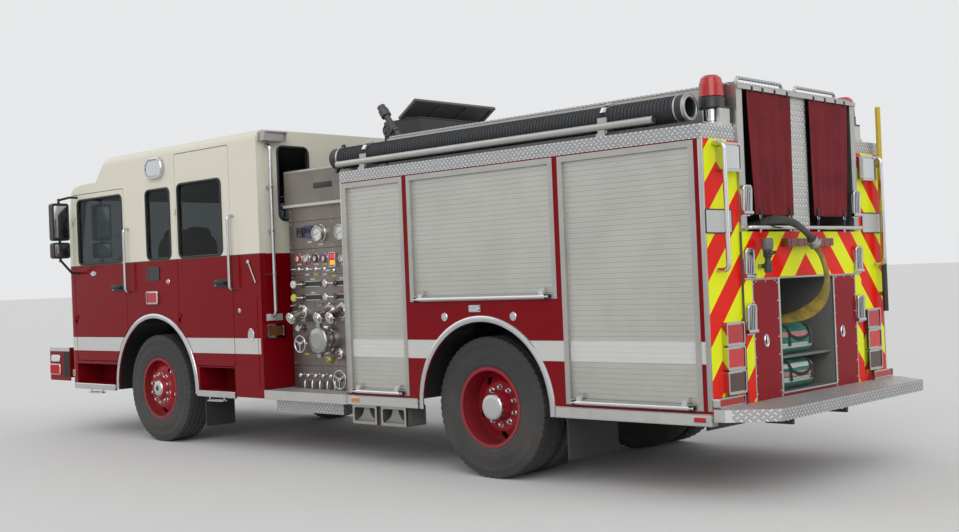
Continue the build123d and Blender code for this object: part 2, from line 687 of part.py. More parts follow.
def door(row, window_row):
    """A left door as thick as the cab wall, with its window cut and a pull handle."""
    y0, y1 = cab_y - wall, cab_y
    shape = door_opening(row, door_gap, y0, y1)
    shape -= window_form(window_row, 0, y0 - 10, y1 + 10)
    handle_x = along_cab(row[1]) + 170
    grip = tube([(handle_x - 90, cab_y - 1, 1560), (handle_x - 90, cab_y + 45, 1560),
                 (handle_x + 90, cab_y + 45, 1560), (handle_x + 90, cab_y - 1, 1560)], 20, 11)
    for z in hinge_places_z:
        shape += hinge_knuckle(row, z, -1)
    return shape + grip


def door_glass(window_row):
    """The pane of a left door."""
    outer = cab_y - glass_inset
    return window_form(window_row, 0, outer - glass_thickness, outer)


save("cab_shell", cab_shell() - cab_seams())
save("cab_windows", cab_windows())
doors = {"front_door": (front_door, front_door_window), "crew_door": (crew_door, crew_door_window)}
for name, (row, window_row) in doors.items():
    panel = door(row, window_row)
    pane = door_glass(window_row)
    save(f"{name}_left", panel)
    save(f"{name}_right", other_side(panel))
    save(f"{name}_glass_left", pane)
    save(f"{name}_glass_right", other_side(pane))

# Mirrors on the front doors: a tall head, a round wide-angle head and two arms
mirror_reach = 235
mirror_head = (40, 190, 400)
mirror_setback = 330


def mirror_assembly():
    """The left mirror with its arms, fixed to the front door."""
    head_x = along_cab(mirror_setback)
    head_y = cab_y + mirror_reach
    depth, width, height = mirror_head
    head = Pos(head_x, head_y, 2290) * Box(depth * 2, width, height)
    head = fillet(head.edges().filter_by(Axis.X), 30)
    low_head = Pos(head_x, head_y, 1985) * Box(depth * 2, width, 170)
    low_head = fillet(low_head.edges().filter_by(Axis.X), 30)
    stem = rod("Z", head_x, head_y, 0, 1860, 2540, 14)
    arms = tube([(head_x + 30, cab_y, 1740), (head_x + 30, cab_y + 90, 1740), (head_x, head_y, 1880)], 40, 13)
    arms += tube([(head_x + 30, cab_y, 2560), (head_x + 30, cab_y + 90, 2560), (head_x, head_y, 2525)], 30, 13)
    return head + low_head + stem + arms


save("mirror_left", mirror_assembly())
save("mirror_right", other_side(mirror_assembly()))

# Inside the cab: dashboard, engine cover trim and seats
dash_depth = 420
dash_z = 1640
dash_end_gap = 175
wheel_place = (cab_front_x - 640, 640, 1790)
steering_tilt = 35
steering_rim_radius = 225
steering_rim_tube = 15
hub_seat = 16


def cab_interior():
    """Dashboard with the steering column, and the padded engine cover."""
    inner_x = cab_front_x - wall
    dash = outline_y([(inner_x - dash_depth + 60, tunnel_top_z), (inner_x, tunnel_top_z), (inner_x, dash_z),
                      (inner_x - dash_depth + 60, dash_z), (inner_x - dash_depth, dash_z - 80)],
                     dash_end_gap - cab_y, cab_y - dash_end_gap)
    x, y, z = wheel_place
    lean = radians(steering_tilt)
    along = (sin(lean), 0, -cos(lean))
    start = Vector(x, y, z) + Vector(*along) * (hub_seat + fit_gap)
    column = Pos(start) * Rot(0, 180 - steering_tilt, 0) * Pos(0, 0, 160) * Cylinder(32, 320)
    cover_x = along_cab(tunnel_rear_setback - 60)
    cover = block(cover_x, inner_x - dash_depth - 30, -tunnel_y + 20, tunnel_y - 20, tunnel_top_z, tunnel_top_z + 60)
    cover = fillet(cover.edges().group_by(Axis.Z)[-1], 25)
    return [dash + column, cover]


def steering_wheel():
    """Rim, three spokes and the hub, tilted towards the driver."""
    ring = Torus(steering_rim_radius, steering_rim_tube)
    hub = Cylinder(52, 34)
    wheel = ring + hub
    for turn in (90, 210, 330):
        wheel += Rot(0, 0, turn) * Pos(steering_rim_radius / 2, 0, 0) * Box(steering_rim_radius, 26, 12)
    wheel -= Pos(0, 0, -hub_seat - 4) * Cylinder(40, 8)
    return Pos(*wheel_place) * Rot(0, -steering_tilt, 0) * wheel


# Seats. Each row: setback of the cushion's middle, y, facing (1 forward, -1 rearward), floor under it
seat_rows = [(1400, 800, 1, well_box_top_z), (1400, -800, 1, well_box_top_z),
             (2120, 800, -1, well_box_top_z), (2120, -800, -1, well_box_top_z),
             (3200, 800, 1, cab_floor_z), (3200, -800, 1, cab_floor_z)]
seat_width = 480
seat_depth = 460
seat_high_z = 1450
seat_low_z = 1290
seat_cushion_thickness = 120
seat_back_height = 700


def seat(setback, y, facing, floor_z):
    """A seat: pedestal, cushion and back as one closed form."""
    x = along_cab(setback)
    half = seat_width / 2
    top_z = seat_high_z if floor_z > cab_floor_z else seat_low_z
    base = block(x - 150, x + 150, y - 180, y + 180, floor_z, top_z - seat_cushion_thickness)
    cushion = block(x - seat_depth / 2, x + seat_depth / 2, y - half, y + half,
                    top_z - seat_cushion_thickness, top_z)
    x0, x1 = sorted((x - facing * seat_depth / 2, x - facing * (seat_depth / 2 - 120)))
    back = block(x0, x1, y - half, y + half, top_z - 20, top_z + seat_back_height)
    return base + cushion + back


save("cab_interior", cab_interior())
save("steering_wheel", steering_wheel())
save("crew_seats", [seat(*row) for row in seat_rows])

# Front grille, lamps of the cab and the light bar on the brow
grille_y = 520
grille_z = (1010, 1640)
grille_bars = 11
lamp_proud = 30


def front_grille():
    """A frame with level bars, in front of the cab's nose."""
    x0, x1 = cab_front_x, cab_front_x + 16
    low, high = grille_z
    frame = window_x(-grille_y, grille_y, low, high, 40, x0, x1)
    frame -= window_x(45 - grille_y, grille_y - 45, low + 45, high - 45, 20, x0 - 5, x1 + 5)
    pitch = (high - low - 90) / grille_bars
    for bar in range(grille_bars):
        z = low + 45 + pitch * (bar + 0.5)
        frame += block(x0, x0 + 10, 40 - grille_y, grille_y - 40, z - 9, z + 9)
    return frame


# Lamps on the cab's left side. Each row: front edge, rear edge, bottom, top, corner radius, depth, rim
side_lamps = [(1730, 2040, 2630, 2840, 100, 46, 20), (1650, 1860, 1380, 1510, 18, 28, 14),
              (90, 140, 618, 688, 12, 12, 7)]
vent = (1660, 1880, 1620, 1750)
vent_slots = 6
round_lamp = (2040, 1600, 26)


def sunk_lamp(front, rear, z0, z1, corner, depth, rim):
    """A bezel on the cab's left side with its lens sunk inside it."""
    x0, x1, y = along_cab(rear), along_cab(front), cab_y
    lamp = window(x0, x1, z0, z1, corner, y, y + depth)
    lamp = chamfer(lamp.edges().group_by(Axis.Y)[-1], rim * 0.35)
    seat = max(corner - rim, 3)
    lamp -= window(x0 + rim, x1 - rim, z0 + rim, z1 - rim, seat, y + depth * 0.6, y + depth + 5)
    return lamp + window(x0 + rim * 1.4, x1 - rim * 1.4, z0 + rim * 1.4, z1 - rim * 1.4, max(seat - rim * 0.4, 2),
                         y + depth * 0.6 - 1, y + depth * 0.85)


def headlamp(z0, z1):
    """A front lamp housing with two round lamps sunk side by side."""
    x = cab_front_x
    face_x = x + lamp_proud - 12
    lamp = window_x(600, 960, z0, z1, 30, x, face_x)
    middle_z = (z0 + z1) / 2
    for y in (694, 866):
        lamp -= rod("X", 0, y, middle_z, face_x - 10, face_x + 5, 68)
        lamp += rod("X", 0, y, middle_z, face_x - 11, face_x - 4, 60)
    return lamp


def cab_lamps():
    """Headlamps, side lamps, the side vent, and the lamps on the cab's rear corners."""
    lamps = [headlamp(1040, 1200), headlamp(1225, 1385)] + [sunk_lamp(*row) for row in side_lamps]
    front, rear, z0, z1 = vent
    panel = window(along_cab(rear), along_cab(front), z0, z1, 14, cab_y, cab_y + 9)
    pitch = (z1 - z0 - 24) / vent_slots
    for slot in range(vent_slots):
        z = z0 + 12 + pitch * (slot + 0.5)
        panel -= block(along_cab(rear) + 14, along_cab(front) - 14, cab_y + 3, cab_y + 12, z - 4, z + 4)
    lamps.append(panel)
    setback, z, radius = round_lamp
    lamps.append(turned([(0, 0), (radius, 0), (radius, 6), (radius - 6, 12), (radius - 8, 20), (0, 24)],
                        along_cab(setback), cab_y, z))
    box = window_x(cab_y - 240, cab_y - 40, 1045, 1170, 15, cab_rear_x - 26, cab_rear_x)
    box -= window_x(cab_y - 228, cab_y - 52, 1057, 1158, 10, cab_rear_x - 30, cab_rear_x - 14)
    lamps.append(box + window_x(cab_y - 222, cab_y - 58, 1063, 1152, 8, cab_rear_x - 21, cab_rear_x - 13))
    corner = outline_x([(cab_y - 20, 2835), (cab_y - 40, 2925), (cab_y - 300, 2925), (cab_y - 280, 2835)],
                       cab_rear_x - 90, cab_rear_x)
    corner -= outline_x([(cab_y - 38, 2847), (cab_y - 54, 2913), (cab_y - 285, 2913), (cab_y - 268, 2847)],
                        cab_rear_x - 95, cab_rear_x - 70)
    lamps.append(corner)
    return [piece for lamp in lamps for piece in both(lamp)]


light_bar_y = 900
light_bar_half_depth = 140
light_bar_setback = brow_reach - light_bar_half_depth - 15


def light_bar():
    """A long light bar on two feet on the brow, with end housings."""
    x = along_cab(light_bar_setback)
    half = light_bar_half_depth
    bar = outline_y([(x - half, brow_z + 40), (x + half - 15, brow_z + 40), (x + half, brow_z + 80),
                     (x + half - 30, brow_z + 140), (x + 10 - half, brow_z + 140), (x - half, brow_z + 110)],
                    -light_bar_y, light_bar_y)
    for y in (-660, -220, 220, 660):
        bar -= block(x - half - 5, x + half + 5, y - 4, y + 4, brow_z + 56, brow_z + 145)
    for y in (-600, 600):
        bar += block(x - 90, x + 90, y - 40, y + 40, brow_z, brow_z + 41)
    return bar


# Rails, arch rings and step plates of the cab
rail_bar_radius = 15
arch_ring_crown = 13


def arch_ring(x, inner, y):
    """A polished ring with a crowned section round a wheel arch, open below the skirt."""
    outer = inner + arch_trim_width
    crown = arch_ring_crown
    ring = turned([(inner, 0), (inner, crown * 0.5), (inner + 8, crown * 0.85), (inner + 22, crown),
                   (outer - 14, crown * 0.9), (outer - 4, crown * 0.55), (outer, 0)], x, y, tyre_radius)
    return ring - block(x - 2 * outer, x + 2 * outer, y - 5, y + crown + 5, -outer, skirt_z + 4)


def stand_off_bar(x, y, z0, z1, reach_x, reach_y, radius):
    """An upright grab bar whose bent ends meet the panel behind it."""
    return tube([(x - reach_x, y - reach_y, z0), (x, y, z0), (x, y, z1), (x - reach_x, y - reach_y, z1)],
                radius * 2.2, radius)


def cab_rails():
    """Grab bars, arch rings and step plates."""
    pieces = both(arch_ring(well_centre_x, arch_radius, cab_y))
    for setback, z0, z1 in ((1330, 1520, 2160), (3150, 1500, 2180)):
        pieces += both(stand_off_bar(along_cab(setback), cab_y + 62, z0, z1, 0, 62, rail_bar_radius))
    pieces += both(stand_off_bar(cab_rear_x - 62, cab_y - 110, 1254, 2800, -62, 0, rail_bar_radius + 2))
    ring_room = rod("Y", well_centre_x, 0, tyre_radius, cab_y - 5, cab_y + 40, arch_radius + arch_trim_width + 2)
    lip_reach, lip_height = step_lip
    for front, rear, bottom, top, depth in (front_well, crew_well):
        plate = block(along_cab(rear) - 15, along_cab(front) + 30, cab_y, cab_y + lip_reach, bottom - lip_height, bottom)
        plate = chamfer(plate.edges().filter_by(Axis.X).group_by(Axis.Y)[-1], 5)
        pieces += both(plate - ring_room + stirrup((along_cab(rear) + along_cab(front)) / 2, bottom - lip_height))
    return pieces


def stirrup(x, top_z):
    """An oval foot loop hung under a step plate on two stems."""
    half_x, half_y = stirrup_half
    middle_y = cab_y + step_lip[0] / 2
    loop = Pos(x, middle_y, stirrup_z) * extrude(SlotOverall(2 * half_x, 2 * half_y), amount=12)
    loop -= Pos(x, middle_y, stirrup_z - 5) * extrude(SlotOverall(2 * half_x - 30, 2 * half_y - 30), amount=30)
    for stem_x in (x - half_x + 8, x + half_x - 8):
        loop += rod("Z", stem_x, middle_y, 0, stirrup_z + 4, top_z + 4, 7)
    return loop


save("front_grille", front_grille())
save("cab_lamps", cab_lamps())
save("light_bar", light_bar())
save("cab_rails", cab_rails())

# Front bumper: a deep channel with tapered ends and a flat deck
bumper_z = (560, 925)
bumper_corner = (50, 130)
bumper_skin = 12
# Lamps on each end. Each row: rear edge and front edge from the bumper's rear, bottom, top
bumper_lamps = [(200, 395, 766, 842), (195, 425, 620, 742)]


def front_bumper():
    """The bumper extension with its end wings and deck."""
    low, high = bumper_z
    half = bumper_width / 2
    cut_x, cut_y = bumper_corner
    skin = bumper_skin
    outer = [(bumper_rear_x, -half), (bumper_front_x - cut_x, -half), (bumper_front_x, cut_y - half),
             (bumper_front_x, half - cut_y), (bumper_front_x - cut_x, half), (bumper_rear_x, half)]
    shape = outline_z(outer, low, high)
    inner = [(bumper_rear_x - 10, skin - half), (bumper_front_x - cut_x - skin / 2, skin - half),
             (bumper_front_x - skin, cut_y + skin / 2 - half), (bumper_front_x - skin, half - cut_y - skin / 2),
             (bumper_front_x - cut_x - skin / 2, half - skin), (bumper_rear_x - 10, half - skin)]
    shape -= outline_z(inner, low - 10, high - 14)
    for x0, x1, z0, z1 in bumper_lamps:
        lamp = window(bumper_rear_x + x0, bumper_rear_x + x1, z0, z1, 24, half - 1, half + 16)
        lamp = chamfer(lamp.edges().group_by(Axis.Y)[-1], 6)
        shape += lamp + other_side(lamp)
    for y in (rail_y, -rail_y):
        shape += block(bumper_rear_x - 5, bumper_front_x - skin, y - 40, y + 40, rail_bottom_z + 5, rail_bottom_z + 85)
    shape += block(bumper_rear_x, bumper_rear_x + 12, -half + skin, half - skin, low + 60, high - 14)
    return shape


save("front_bumper", front_bumper())

# Pump house: a stainless box with a stepped top, fittings on its sides
crosslay_z = 2235
panel_inset = 40
pump_floor_z = 590


def pump_module():
    """The pump house with a ledge under the hose bay and a deep bay across its top."""
    body = block(pump_rear_x, pump_front_x, -pump_y, pump_y, pump_floor_z, pump_top_z)
    for side in (1, -1):
        y0, y1 = sorted((side * (pump_y - panel_inset), side * (pump_y + 5)))
        body -= block(pump_rear_x - 5, pump_front_x + 5, y0, y1, pump_floor_z - 5, crosslay_z - 22)
        y0, y1 = sorted((side * (pump_y - 5), side * (pump_y + 22)))
        body += block(pump_rear_x, pump_front_x, y0, y1, crosslay_z - 22, crosslay_z)
    body -= block(pump_rear_x + 600, pump_front_x - 60, 60 - pump_y, pump_y - 60, crosslay_z + 40, pump_top_z + 5)
    body -= block(pump_rear_x - 5, pump_front_x + 5, -rail_y - 30, rail_y + 30, pump_floor_z - 5, rail_top_z)
    return body


# Panel fittings, placed by their distance from the pump house's front edge and their height
panel_y = pump_y - panel_inset
# Gauges. Each row: setback, z, radius, depth
gauges = [(440, 1965, 72, 46), (750, 1962, 72, 46), (130, 1752, 36, 30), (245, 1750, 36, 30),
          (370, 1746, 36, 30), (490, 1742, 36, 30), (740, 1735, 36, 30)]
# Display boxes. Each row: setback, z, width, height
displays = [(170, 1985, 80, 90), (290, 1985, 110, 110), (615, 1728, 90, 130)]
# Pull handles. Each row: setback, z
pull_handles = [(120, 1655), (235, 1652), (360, 1650), (480, 1648), (605, 1632)]
# Capped outlets. Each row: setback, z, radius, reach
outlets = [(150, 1276, 56, 150), (532, 1276, 56, 150), (695, 1276, 56, 150), (640, 900, 36, 130)]
outlet_droop = 24
# Valve levers. Each row: setback of the knob, slot front, slot rear, z
levers = [(110, 190, 430, 1520), (110, 190, 430, 1400), (560, 620, 800, 1520), (560, 620, 800, 1400)]
lever_reach = 62
intake = (480, 1020, 118, 126)
intake_handle_reach = 150
# Hand wheels. Each row: setback, z, rim radius, rim thickness, reach, spokes
hand_wheels = [(185, 985, 74, 9, 70, 3), (745, 682, 80, 7, 96, 3)]
# Drain knobs and the small test outlet. Each row: setback, z, radius, reach
drain_knobs = [(130, 1125, 34, 56), (150, 705, 20, 60), (255, 705, 20, 60), (360, 705, 20, 60),
               (465, 705, 20, 60), (570, 705, 20, 60)]


def on_panel(setback):
    """The X place of a fitting on the pump panel."""
    return pump_front_x - setback


def gauge(setback, z, radius, depth):
    """A gauge turned in one piece: flange, body, rolled bezel and the dial sunk in it."""
    profile = [(0, 0), (radius + 7, 0), (radius + 7, 4), (radius + 1, 8), (radius + 1, depth - 7),
               (radius - 3, depth), (radius - 9, depth), (radius - 12, depth - 9), (0, depth - 9)]
    return turned(profile, on_panel(setback), panel_y, z)


def display_box(setback, z, width, height):
    """A display in a raised frame."""
    x = on_panel(setback)
    half, rise = width / 2, height / 2
    frame = window(x - half, x + half, z - rise, z + rise, 8, panel_y, panel_y + 24)
    return frame - window(x - half + 9, x + half - 9, z - rise + 9, z + rise - 9, 4, panel_y + 19, panel_y + 30)


def pull_handle(setback, z):
    """A pull rod in its collar, with a crossbar to grip."""
    x = on_panel(setback)
    collar = turned([(0, 0), (21, 0), (21, 6), (13, 13), (6, 13), (6, 60), (0, 60)], x, panel_y, z)
    return collar + rod("X", 0, panel_y + 56, z, x - 32, x + 32, 9)


def capped_outlet(setback, z, radius, reach):
    """An outlet that droops from its flange, closed by a cap with a stepped rim and two lugs."""
    x = on_panel(setback)
    flange = turned([(0, 0), (radius + 16, 0), (radius + 16, 9), (radius + 4, 17), (0, 17)], x, panel_y, z)
    neck = radius - 14
    barrel = turned([(0, -40), (neck, -40), (neck, reach - 70), (radius - 5, reach - 62), (radius - 5, reach - 44),
                     (radius, reach - 38), (radius, reach - 6), (radius - 7, reach + 4), (radius - 22, reach + 4),
                     (radius - 26, reach + 12), (0, reach + 12)], 0, 0, 0)
    barrel += Pos(0, reach - 22, 0) * Box(2 * radius + 24, 26, 17)
    drooped = Pos(x, panel_y + 8, z) * Rot(-outlet_droop, 0, 0) * barrel
    behind = block(x - 2 * radius, x + 2 * radius, panel_y - 200, panel_y, z - 200, z + 200)
    return flange + (drooped - behind)


def valve_lever(knob, slot_front, slot_rear, z):
    """A slotted plate, and the bent lever that comes out of it to a round knob."""
    front, rear, knob_x = on_panel(slot_front), on_panel(slot_rear), on_panel(knob)
    plate = window(rear, front, z - 26, z + 26, 24, panel_y, panel_y + 8)
    plate -= window(rear + 14, front - 14, z - 11, z + 11, 10, panel_y + 3, panel_y + 12)
    foot_x = front - 34
    reach_y = panel_y + lever_reach
    arm = tube([(foot_x, panel_y + 2, z), (foot_x, reach_y, z), (knob_x, reach_y, z)], 20, 9)
    knob_disc = turned([(0, -16), (24, -16), (34, -9), (36, 0), (34, 9), (24, 16), (0, 16)], knob_x, reach_y, z)
    return plate + arm + knob_disc


def intake_cap():
    """The large suction intake: bolted flange, neck, and a domed cap with two long handles."""
    setback, z, radius, reach = intake
    x = on_panel(setback)
    shape = turned([(0, 0), (radius + 6, 0), (radius + 6, 12), (radius - 8, 17), (radius - 8, 58),
                    (radius, 62), (radius, reach - 22), (radius - 9, reach - 12), (radius - 50, reach),
                    (0, reach)], x, panel_y, z)
    for turn in range(0, 360, 45):
        rib = Pos(x, panel_y + 82, z) * Rot(0, turn, 0) * Pos(radius, 0, 0)
        shape += rib * Box(16, 40, 20)
    for turn in (-90, 90):
        lug = Pos(x, panel_y + 84, z) * Rot(0, turn, 0)
        shape += lug * Pos(radius + 10, 0, 0) * Box(40, 34, 52)
        shape += lug * Pos(radius, 0, 0) * Rot(0, 90, 0) * Pos(0, 0, (intake_handle_reach - radius) / 2) \
            * Cylinder(15, intake_handle_reach - radius)
    return shape


def hand_wheel(setback, z, radius, thickness, reach, spokes):
    """A round rim on dished spokes, with its stem and a nut."""
    x = on_panel(setback)
    y = panel_y + reach
    wheel = Pos(x, y, z) * Rot(90, 0, 0) * Torus(radius, thickness)
    wheel += turned([(0, -reach), (20, -reach), (20, 8 - reach), (11, 16 - reach), (11, -14), (20, -12),
                     (20, 8), (10, 10), (10, 18), (0, 18)], x, y, z)
    for spoke in range(spokes):
        wheel += Pos(x, y, z) * Rot(0, 90 + 360 / spokes * spoke, 0) * Pos(radius / 2, 0, 0) * Box(radius, 9, 14)
    return wheel


def drain_knob(setback, z, radius, reach):
    """A fluted knob on its short stem."""
    profile = [(0, 0), (radius * 0.8, 0), (radius * 0.8, 5), (radius * 0.4, 8), (radius * 0.4, reach * 0.5),
               (radius, reach * 0.55), (radius, reach * 0.9), (radius * 0.7, reach), (0, reach)]
    return turned(profile, on_panel(setback), panel_y, z)


def pump_gauges():
    """Gauges and displays on both panels."""
    pieces = [gauge(*row) for row in gauges] + [display_box(*row) for row in displays]
    return pieces + [other_side(piece) for piece in pieces]


def pump_fittings():
    """Everything on both panels that is pulled, turned, capped or connected."""
    pieces = [pull_handle(*row) for row in pull_handles]
    pieces += [valve_lever(*row) for row in levers]
    pieces += [capped_outlet(*row) for row in outlets]
    pieces += [hand_wheel(*row) for row in hand_wheels]
    pieces += [drain_knob(*row) for row in drain_knobs]
    pieces.append(intake_cap())
    return pieces + [other_side(piece) for piece in pieces]


save("pump_module", pump_module())
save("pump_gauges", pump_gauges())
save("pump_fittings", pump_fittings())

# Roof box across the pump house: fixed over its front half, a lid hinged across the middle
roof_box = (532, 1015, -800, 268)
roof_box_top_z = 2985
roof_box_wall = 12
lid_hinge_setback = 745
lid_raised = 33
lid_thickness = 24
lid_rim = 30
lid_hinge_radius = 6
lid_hinge_inset = 60


def roof_box_shell():
    """The box, its top open behind the hinge line."""
    x1, x0 = on_panel(roof_box[0]), on_panel(roof_box[1])
    y0, y1 = roof_box[2], roof_box[3]
    t = roof_box_wall
    box = block(x0, x1, y0, y1, pump_top_z, roof_box_top_z)
    box = fillet(box.edges().filter_by(Axis.Z), 18)
    box -= block(x0 + t, x1 - t, y0 + t, y1 - t, pump_top_z + t, roof_box_top_z - t)
    mouth_x = on_panel(lid_hinge_setback) - lid_hinge_radius - fit_gap
    box -= block(x0 + t, mouth_x, y0 + t, y1 - t, roof_box_top_z - t - 1, roof_box_top_z + 5)
    return box


def roof_box_lid():
    """The lid as it is stored, raised: a skin with a rim and two ribs under it, and its hinge rod."""
    x0 = on_panel(roof_box[1])
    hinge_x = on_panel(lid_hinge_setback)
    y0, y1 = roof_box[2], roof_box[3]
    r = lid_hinge_radius
    reach = hinge_x - x0
    low, high = -r, lid_thickness - r
    lid = block(-reach, 0, y0, y1, low, high)
    third = (y1 - y0 - lid_rim) / 3
    for panel in range(3):
        from_y = y0 + lid_rim + third * panel
        lid -= block(lid_rim - reach, -lid_rim, from_y, from_y + third - lid_rim, low - 1, high - 6)
    lid += rod("Y", 0, 0, 0, y0 + lid_hinge_inset, y1 - lid_hinge_inset, r)
    return Pos(hinge_x, 0, roof_box_top_z + r + fit_gap) * Rot(0, lid_raised, 0) * lid


save("roof_box", roof_box_shell())
save("roof_box_lid", roof_box_lid())

# Locker body. Shutter openings. Each row: rear edge, front edge, bottom, both measured from the body's rear
openings = [(62, 1200, 600), (1246, 2756, 1345), (2805, 3535, 600)]
opening_top_z = 2345
locker_upper_z = 1700


def on_body(place):
    """The X place of a distance measured forward from the body's rear."""
    return body_rear_x + place


def side_locker():
    """The left locker row with its wheel arch and shutter pockets."""
    outline = [(locker_inner_y, locker_floor_z), (side_y, locker_floor_z), (side_y, locker_top_z),
               (hosebed_y, locker_top_z), (hosebed_y, locker_upper_z), (locker_inner_y, locker_upper_z)]
    shape = outline_x(outline, body_rear_x, body_front_x)
    shape -= rod("Y", rear_axle_x, 0, tyre_radius, locker_inner_y - 10, side_y + 10, arch_radius_rear)
    for rear, front, bottom in openings:
        shape -= block(on_body(rear), on_body(front), side_y - shutter_pocket, side_y + 10, bottom, opening_top_z)
    return shape


def shutter_frames():
    """A frame of flat bars round each shutter opening on the left side."""
    frames = []
    for rear, front, bottom in openings:
        x0, x1 = on_body(rear), on_body(front)
        frame = block(x0, x1, side_y - shutter_pocket, side_y + frame_proud, bottom, opening_top_z)
        frame -= block(x0 + frame_width, x1 - frame_width, side_y - shutter_pocket - 5, side_y + 10,
                       bottom + frame_width, opening_top_z - frame_width)
        frames.append(frame)
    return frames + [other_side(frame) for frame in frames]


# The curtain's slats, and its lift bar in front of the frame's lower edge
slat_pitch = 36
slat_crown = 5
lift_bar_radius = 13
lift_bar_drop = 25
lift_bracket_inset = 90


def slatted_outline(inner, outer, z0, z1):
    """The (y, z) outline of a curtain of interlocked slats, flat inside and crowned outside."""
    count = round((z1 - z0) / slat_pitch)
    step = (z1 - z0) / count
    points = [(inner, z1), (inner, z0)]
    for slat in range(count):
        low = z0 + slat * step
        points += [(outer - slat_crown, low), (outer - 1, low + step * 0.25), (outer, low + step * 0.5),
                   (outer - 1, low + step * 0.75)]
    return points + [(outer - slat_crown, z1)]


def roll_shutters():
    """The closed curtains with their lift bars, each on two brackets that pass over the frame."""
    curtains = []
    inner = side_y - curtain_setback
    outer = inner + curtain_thickness
    face = side_y + frame_proud
    bar_y = face + lift_bar_radius + 5
    for rear, front, bottom in openings:
        x0, x1 = on_body(rear) + frame_width, on_body(front) - frame_width
        z0, z1 = bottom + frame_width, opening_top_z - frame_width
        curtain = outline_x(slatted_outline(inner, outer, z0, z1), x0, x1)
        bar_z = z0 - lift_bar_drop
        curtain += rod("X", 0, bar_y, bar_z, x0 + 20, x1 - 20, lift_bar_radius)
        bracket = [(inner + 1, z0 + 6), (face + 2, z0 + 6), (face + 2, bar_z - 8), (bar_y + 6, bar_z - 8),
                   (bar_y + 6, z0 + 14), (face, z0 + 34), (inner + 1, z0 + 44)]
        for x in (x0 + lift_bracket_inset, x1 - lift_bracket_inset):
            curtain += outline_x(bracket, x - 20, x + 20)
        curtains.append(curtain)
    return curtains + [other_side(curtain) for curtain in curtains]


hosebed_front_inset = 160
hosebed_wall = 16
centre_strip_y = 120
curtain_y = 715
curtain_bottom_z = 1862
header_reach = 34
header_height = 28
post_y = 768


def hosebed():
    """Walls and floor of the hose bay, with the divider down its middle."""
    x0, x1 = body_rear_x, body_front_x - hosebed_front_inset
    top = hosebed_top_z
    shape = block(x0, x1, -hosebed_y, hosebed_y, locker_upper_z, hosebed_floor_z)
    for side in (1, -1):
        y0, y1 = sorted((side * hosebed_y, side * (hosebed_y - hosebed_wall)))
        shape += block(x0, x1, y0, y1, locker_upper_z, top)
    shape += block(x1 - hosebed_wall, x1, -hosebed_y, hosebed_y, locker_upper_z, top)
    shape += block(x0 + 60, x1, -8, 8, hosebed_floor_z - 1, top)
    shape += block(x0, x0 + 60, -centre_strip_y, centre_strip_y, hosebed_floor_z - 1, top)
    shape += block(x0 - header_reach, x0 + 20, -hosebed_y, hosebed_y, top - header_height, top)
    for y0, y1 in ((post_y, hosebed_y), (-hosebed_y, -post_y)):
        shape += block(x0 - rear_plate, x0 + 20, y0, y1, hosebed_floor_z, top)
    return shape


# Deck gun: a fixed riser on the deck in front of the hose bay, and the part that turns on it
gun_x = body_front_x - hosebed_front_inset / 2
gun_y = 595
gun_swivel_z = 2600
gun_pivot_z = 2720
gun_raise = 54
gun_length = 425
gun_riser_radius = 45
gun_wheel_place = 138
gun_wheel_radius = 50
gun_wheel_out = 92


def treadplate_caps():
    """The bright caps over both locker rows, and the deck with the deck gun's flanged riser."""
    caps = both(block(body_rear_x, body_front_x, hosebed_y, side_y + 5, locker_top_z, body_top_z))
    deck_y = hosebed_y - fit_gap
    deck = block(body_front_x - hosebed_front_inset, body_front_x, -deck_y, deck_y, locker_upper_z, body_top_z)
    deck += rod("Z", gun_x, gun_y, 0, body_top_z, body_top_z + 16, 76)
    deck += rod("Z", gun_x, gun_y, 0, body_top_z, gun_swivel_z, gun_riser_radius)
    deck += rod("Z", gun_x, gun_y, 0, gun_swivel_z - 40, gun_swivel_z - 8, gun_riser_radius + 12)
    return caps + [deck]


def deck_gun():
    """The swivel, elbow, hand wheel and raised barrel with its nozzle, turned from one profile."""
    low = gun_swivel_z + fit_gap
    shape = rod("Z", gun_x, gun_y, 0, low, low + 34, gun_riser_radius + 12)
    shape += rod("Z", gun_x, gun_y, 0, low, gun_pivot_z, gun_riser_radius)
    shape += Pos(gun_x, gun_y, gun_pivot_z) * Sphere(58)
    profile = [(0, 0), (36, 0), (36, 120), (44, 126), (44, 150), (34, 158), (27, 290), (29, 300),
               (46, 312), (46, 380), (38, 392), (38, gun_length), (26, gun_length), (20, 340), (0, 340)]
    face = make_face(Polyline(*[(r, 0, z) for r, z in profile], close=True))
    barrel = revolve(face, axis=Axis.Z)
    raised = Pos(gun_x, gun_y, gun_pivot_z) * Rot(0, 90 - gun_raise, 0)
    wheel = Rot(90, 0, 0) * Torus(gun_wheel_radius, 7)
    for turn in (0, 60, 120):
        wheel += Rot(0, turn, 0) * Box(2 * gun_wheel_radius, 8, 9)
    stem = rod("Y", 0, 0, gun_wheel_place, 30, gun_wheel_out + 4, 9)
    barrel += stem + Pos(0, gun_wheel_out, gun_wheel_place) * wheel
    return shape + raised * barrel


# Each lid hinges on its outer edge; lid_gap is the slot down the middle
lid_gap = 6
bed_lid_thickness = 22


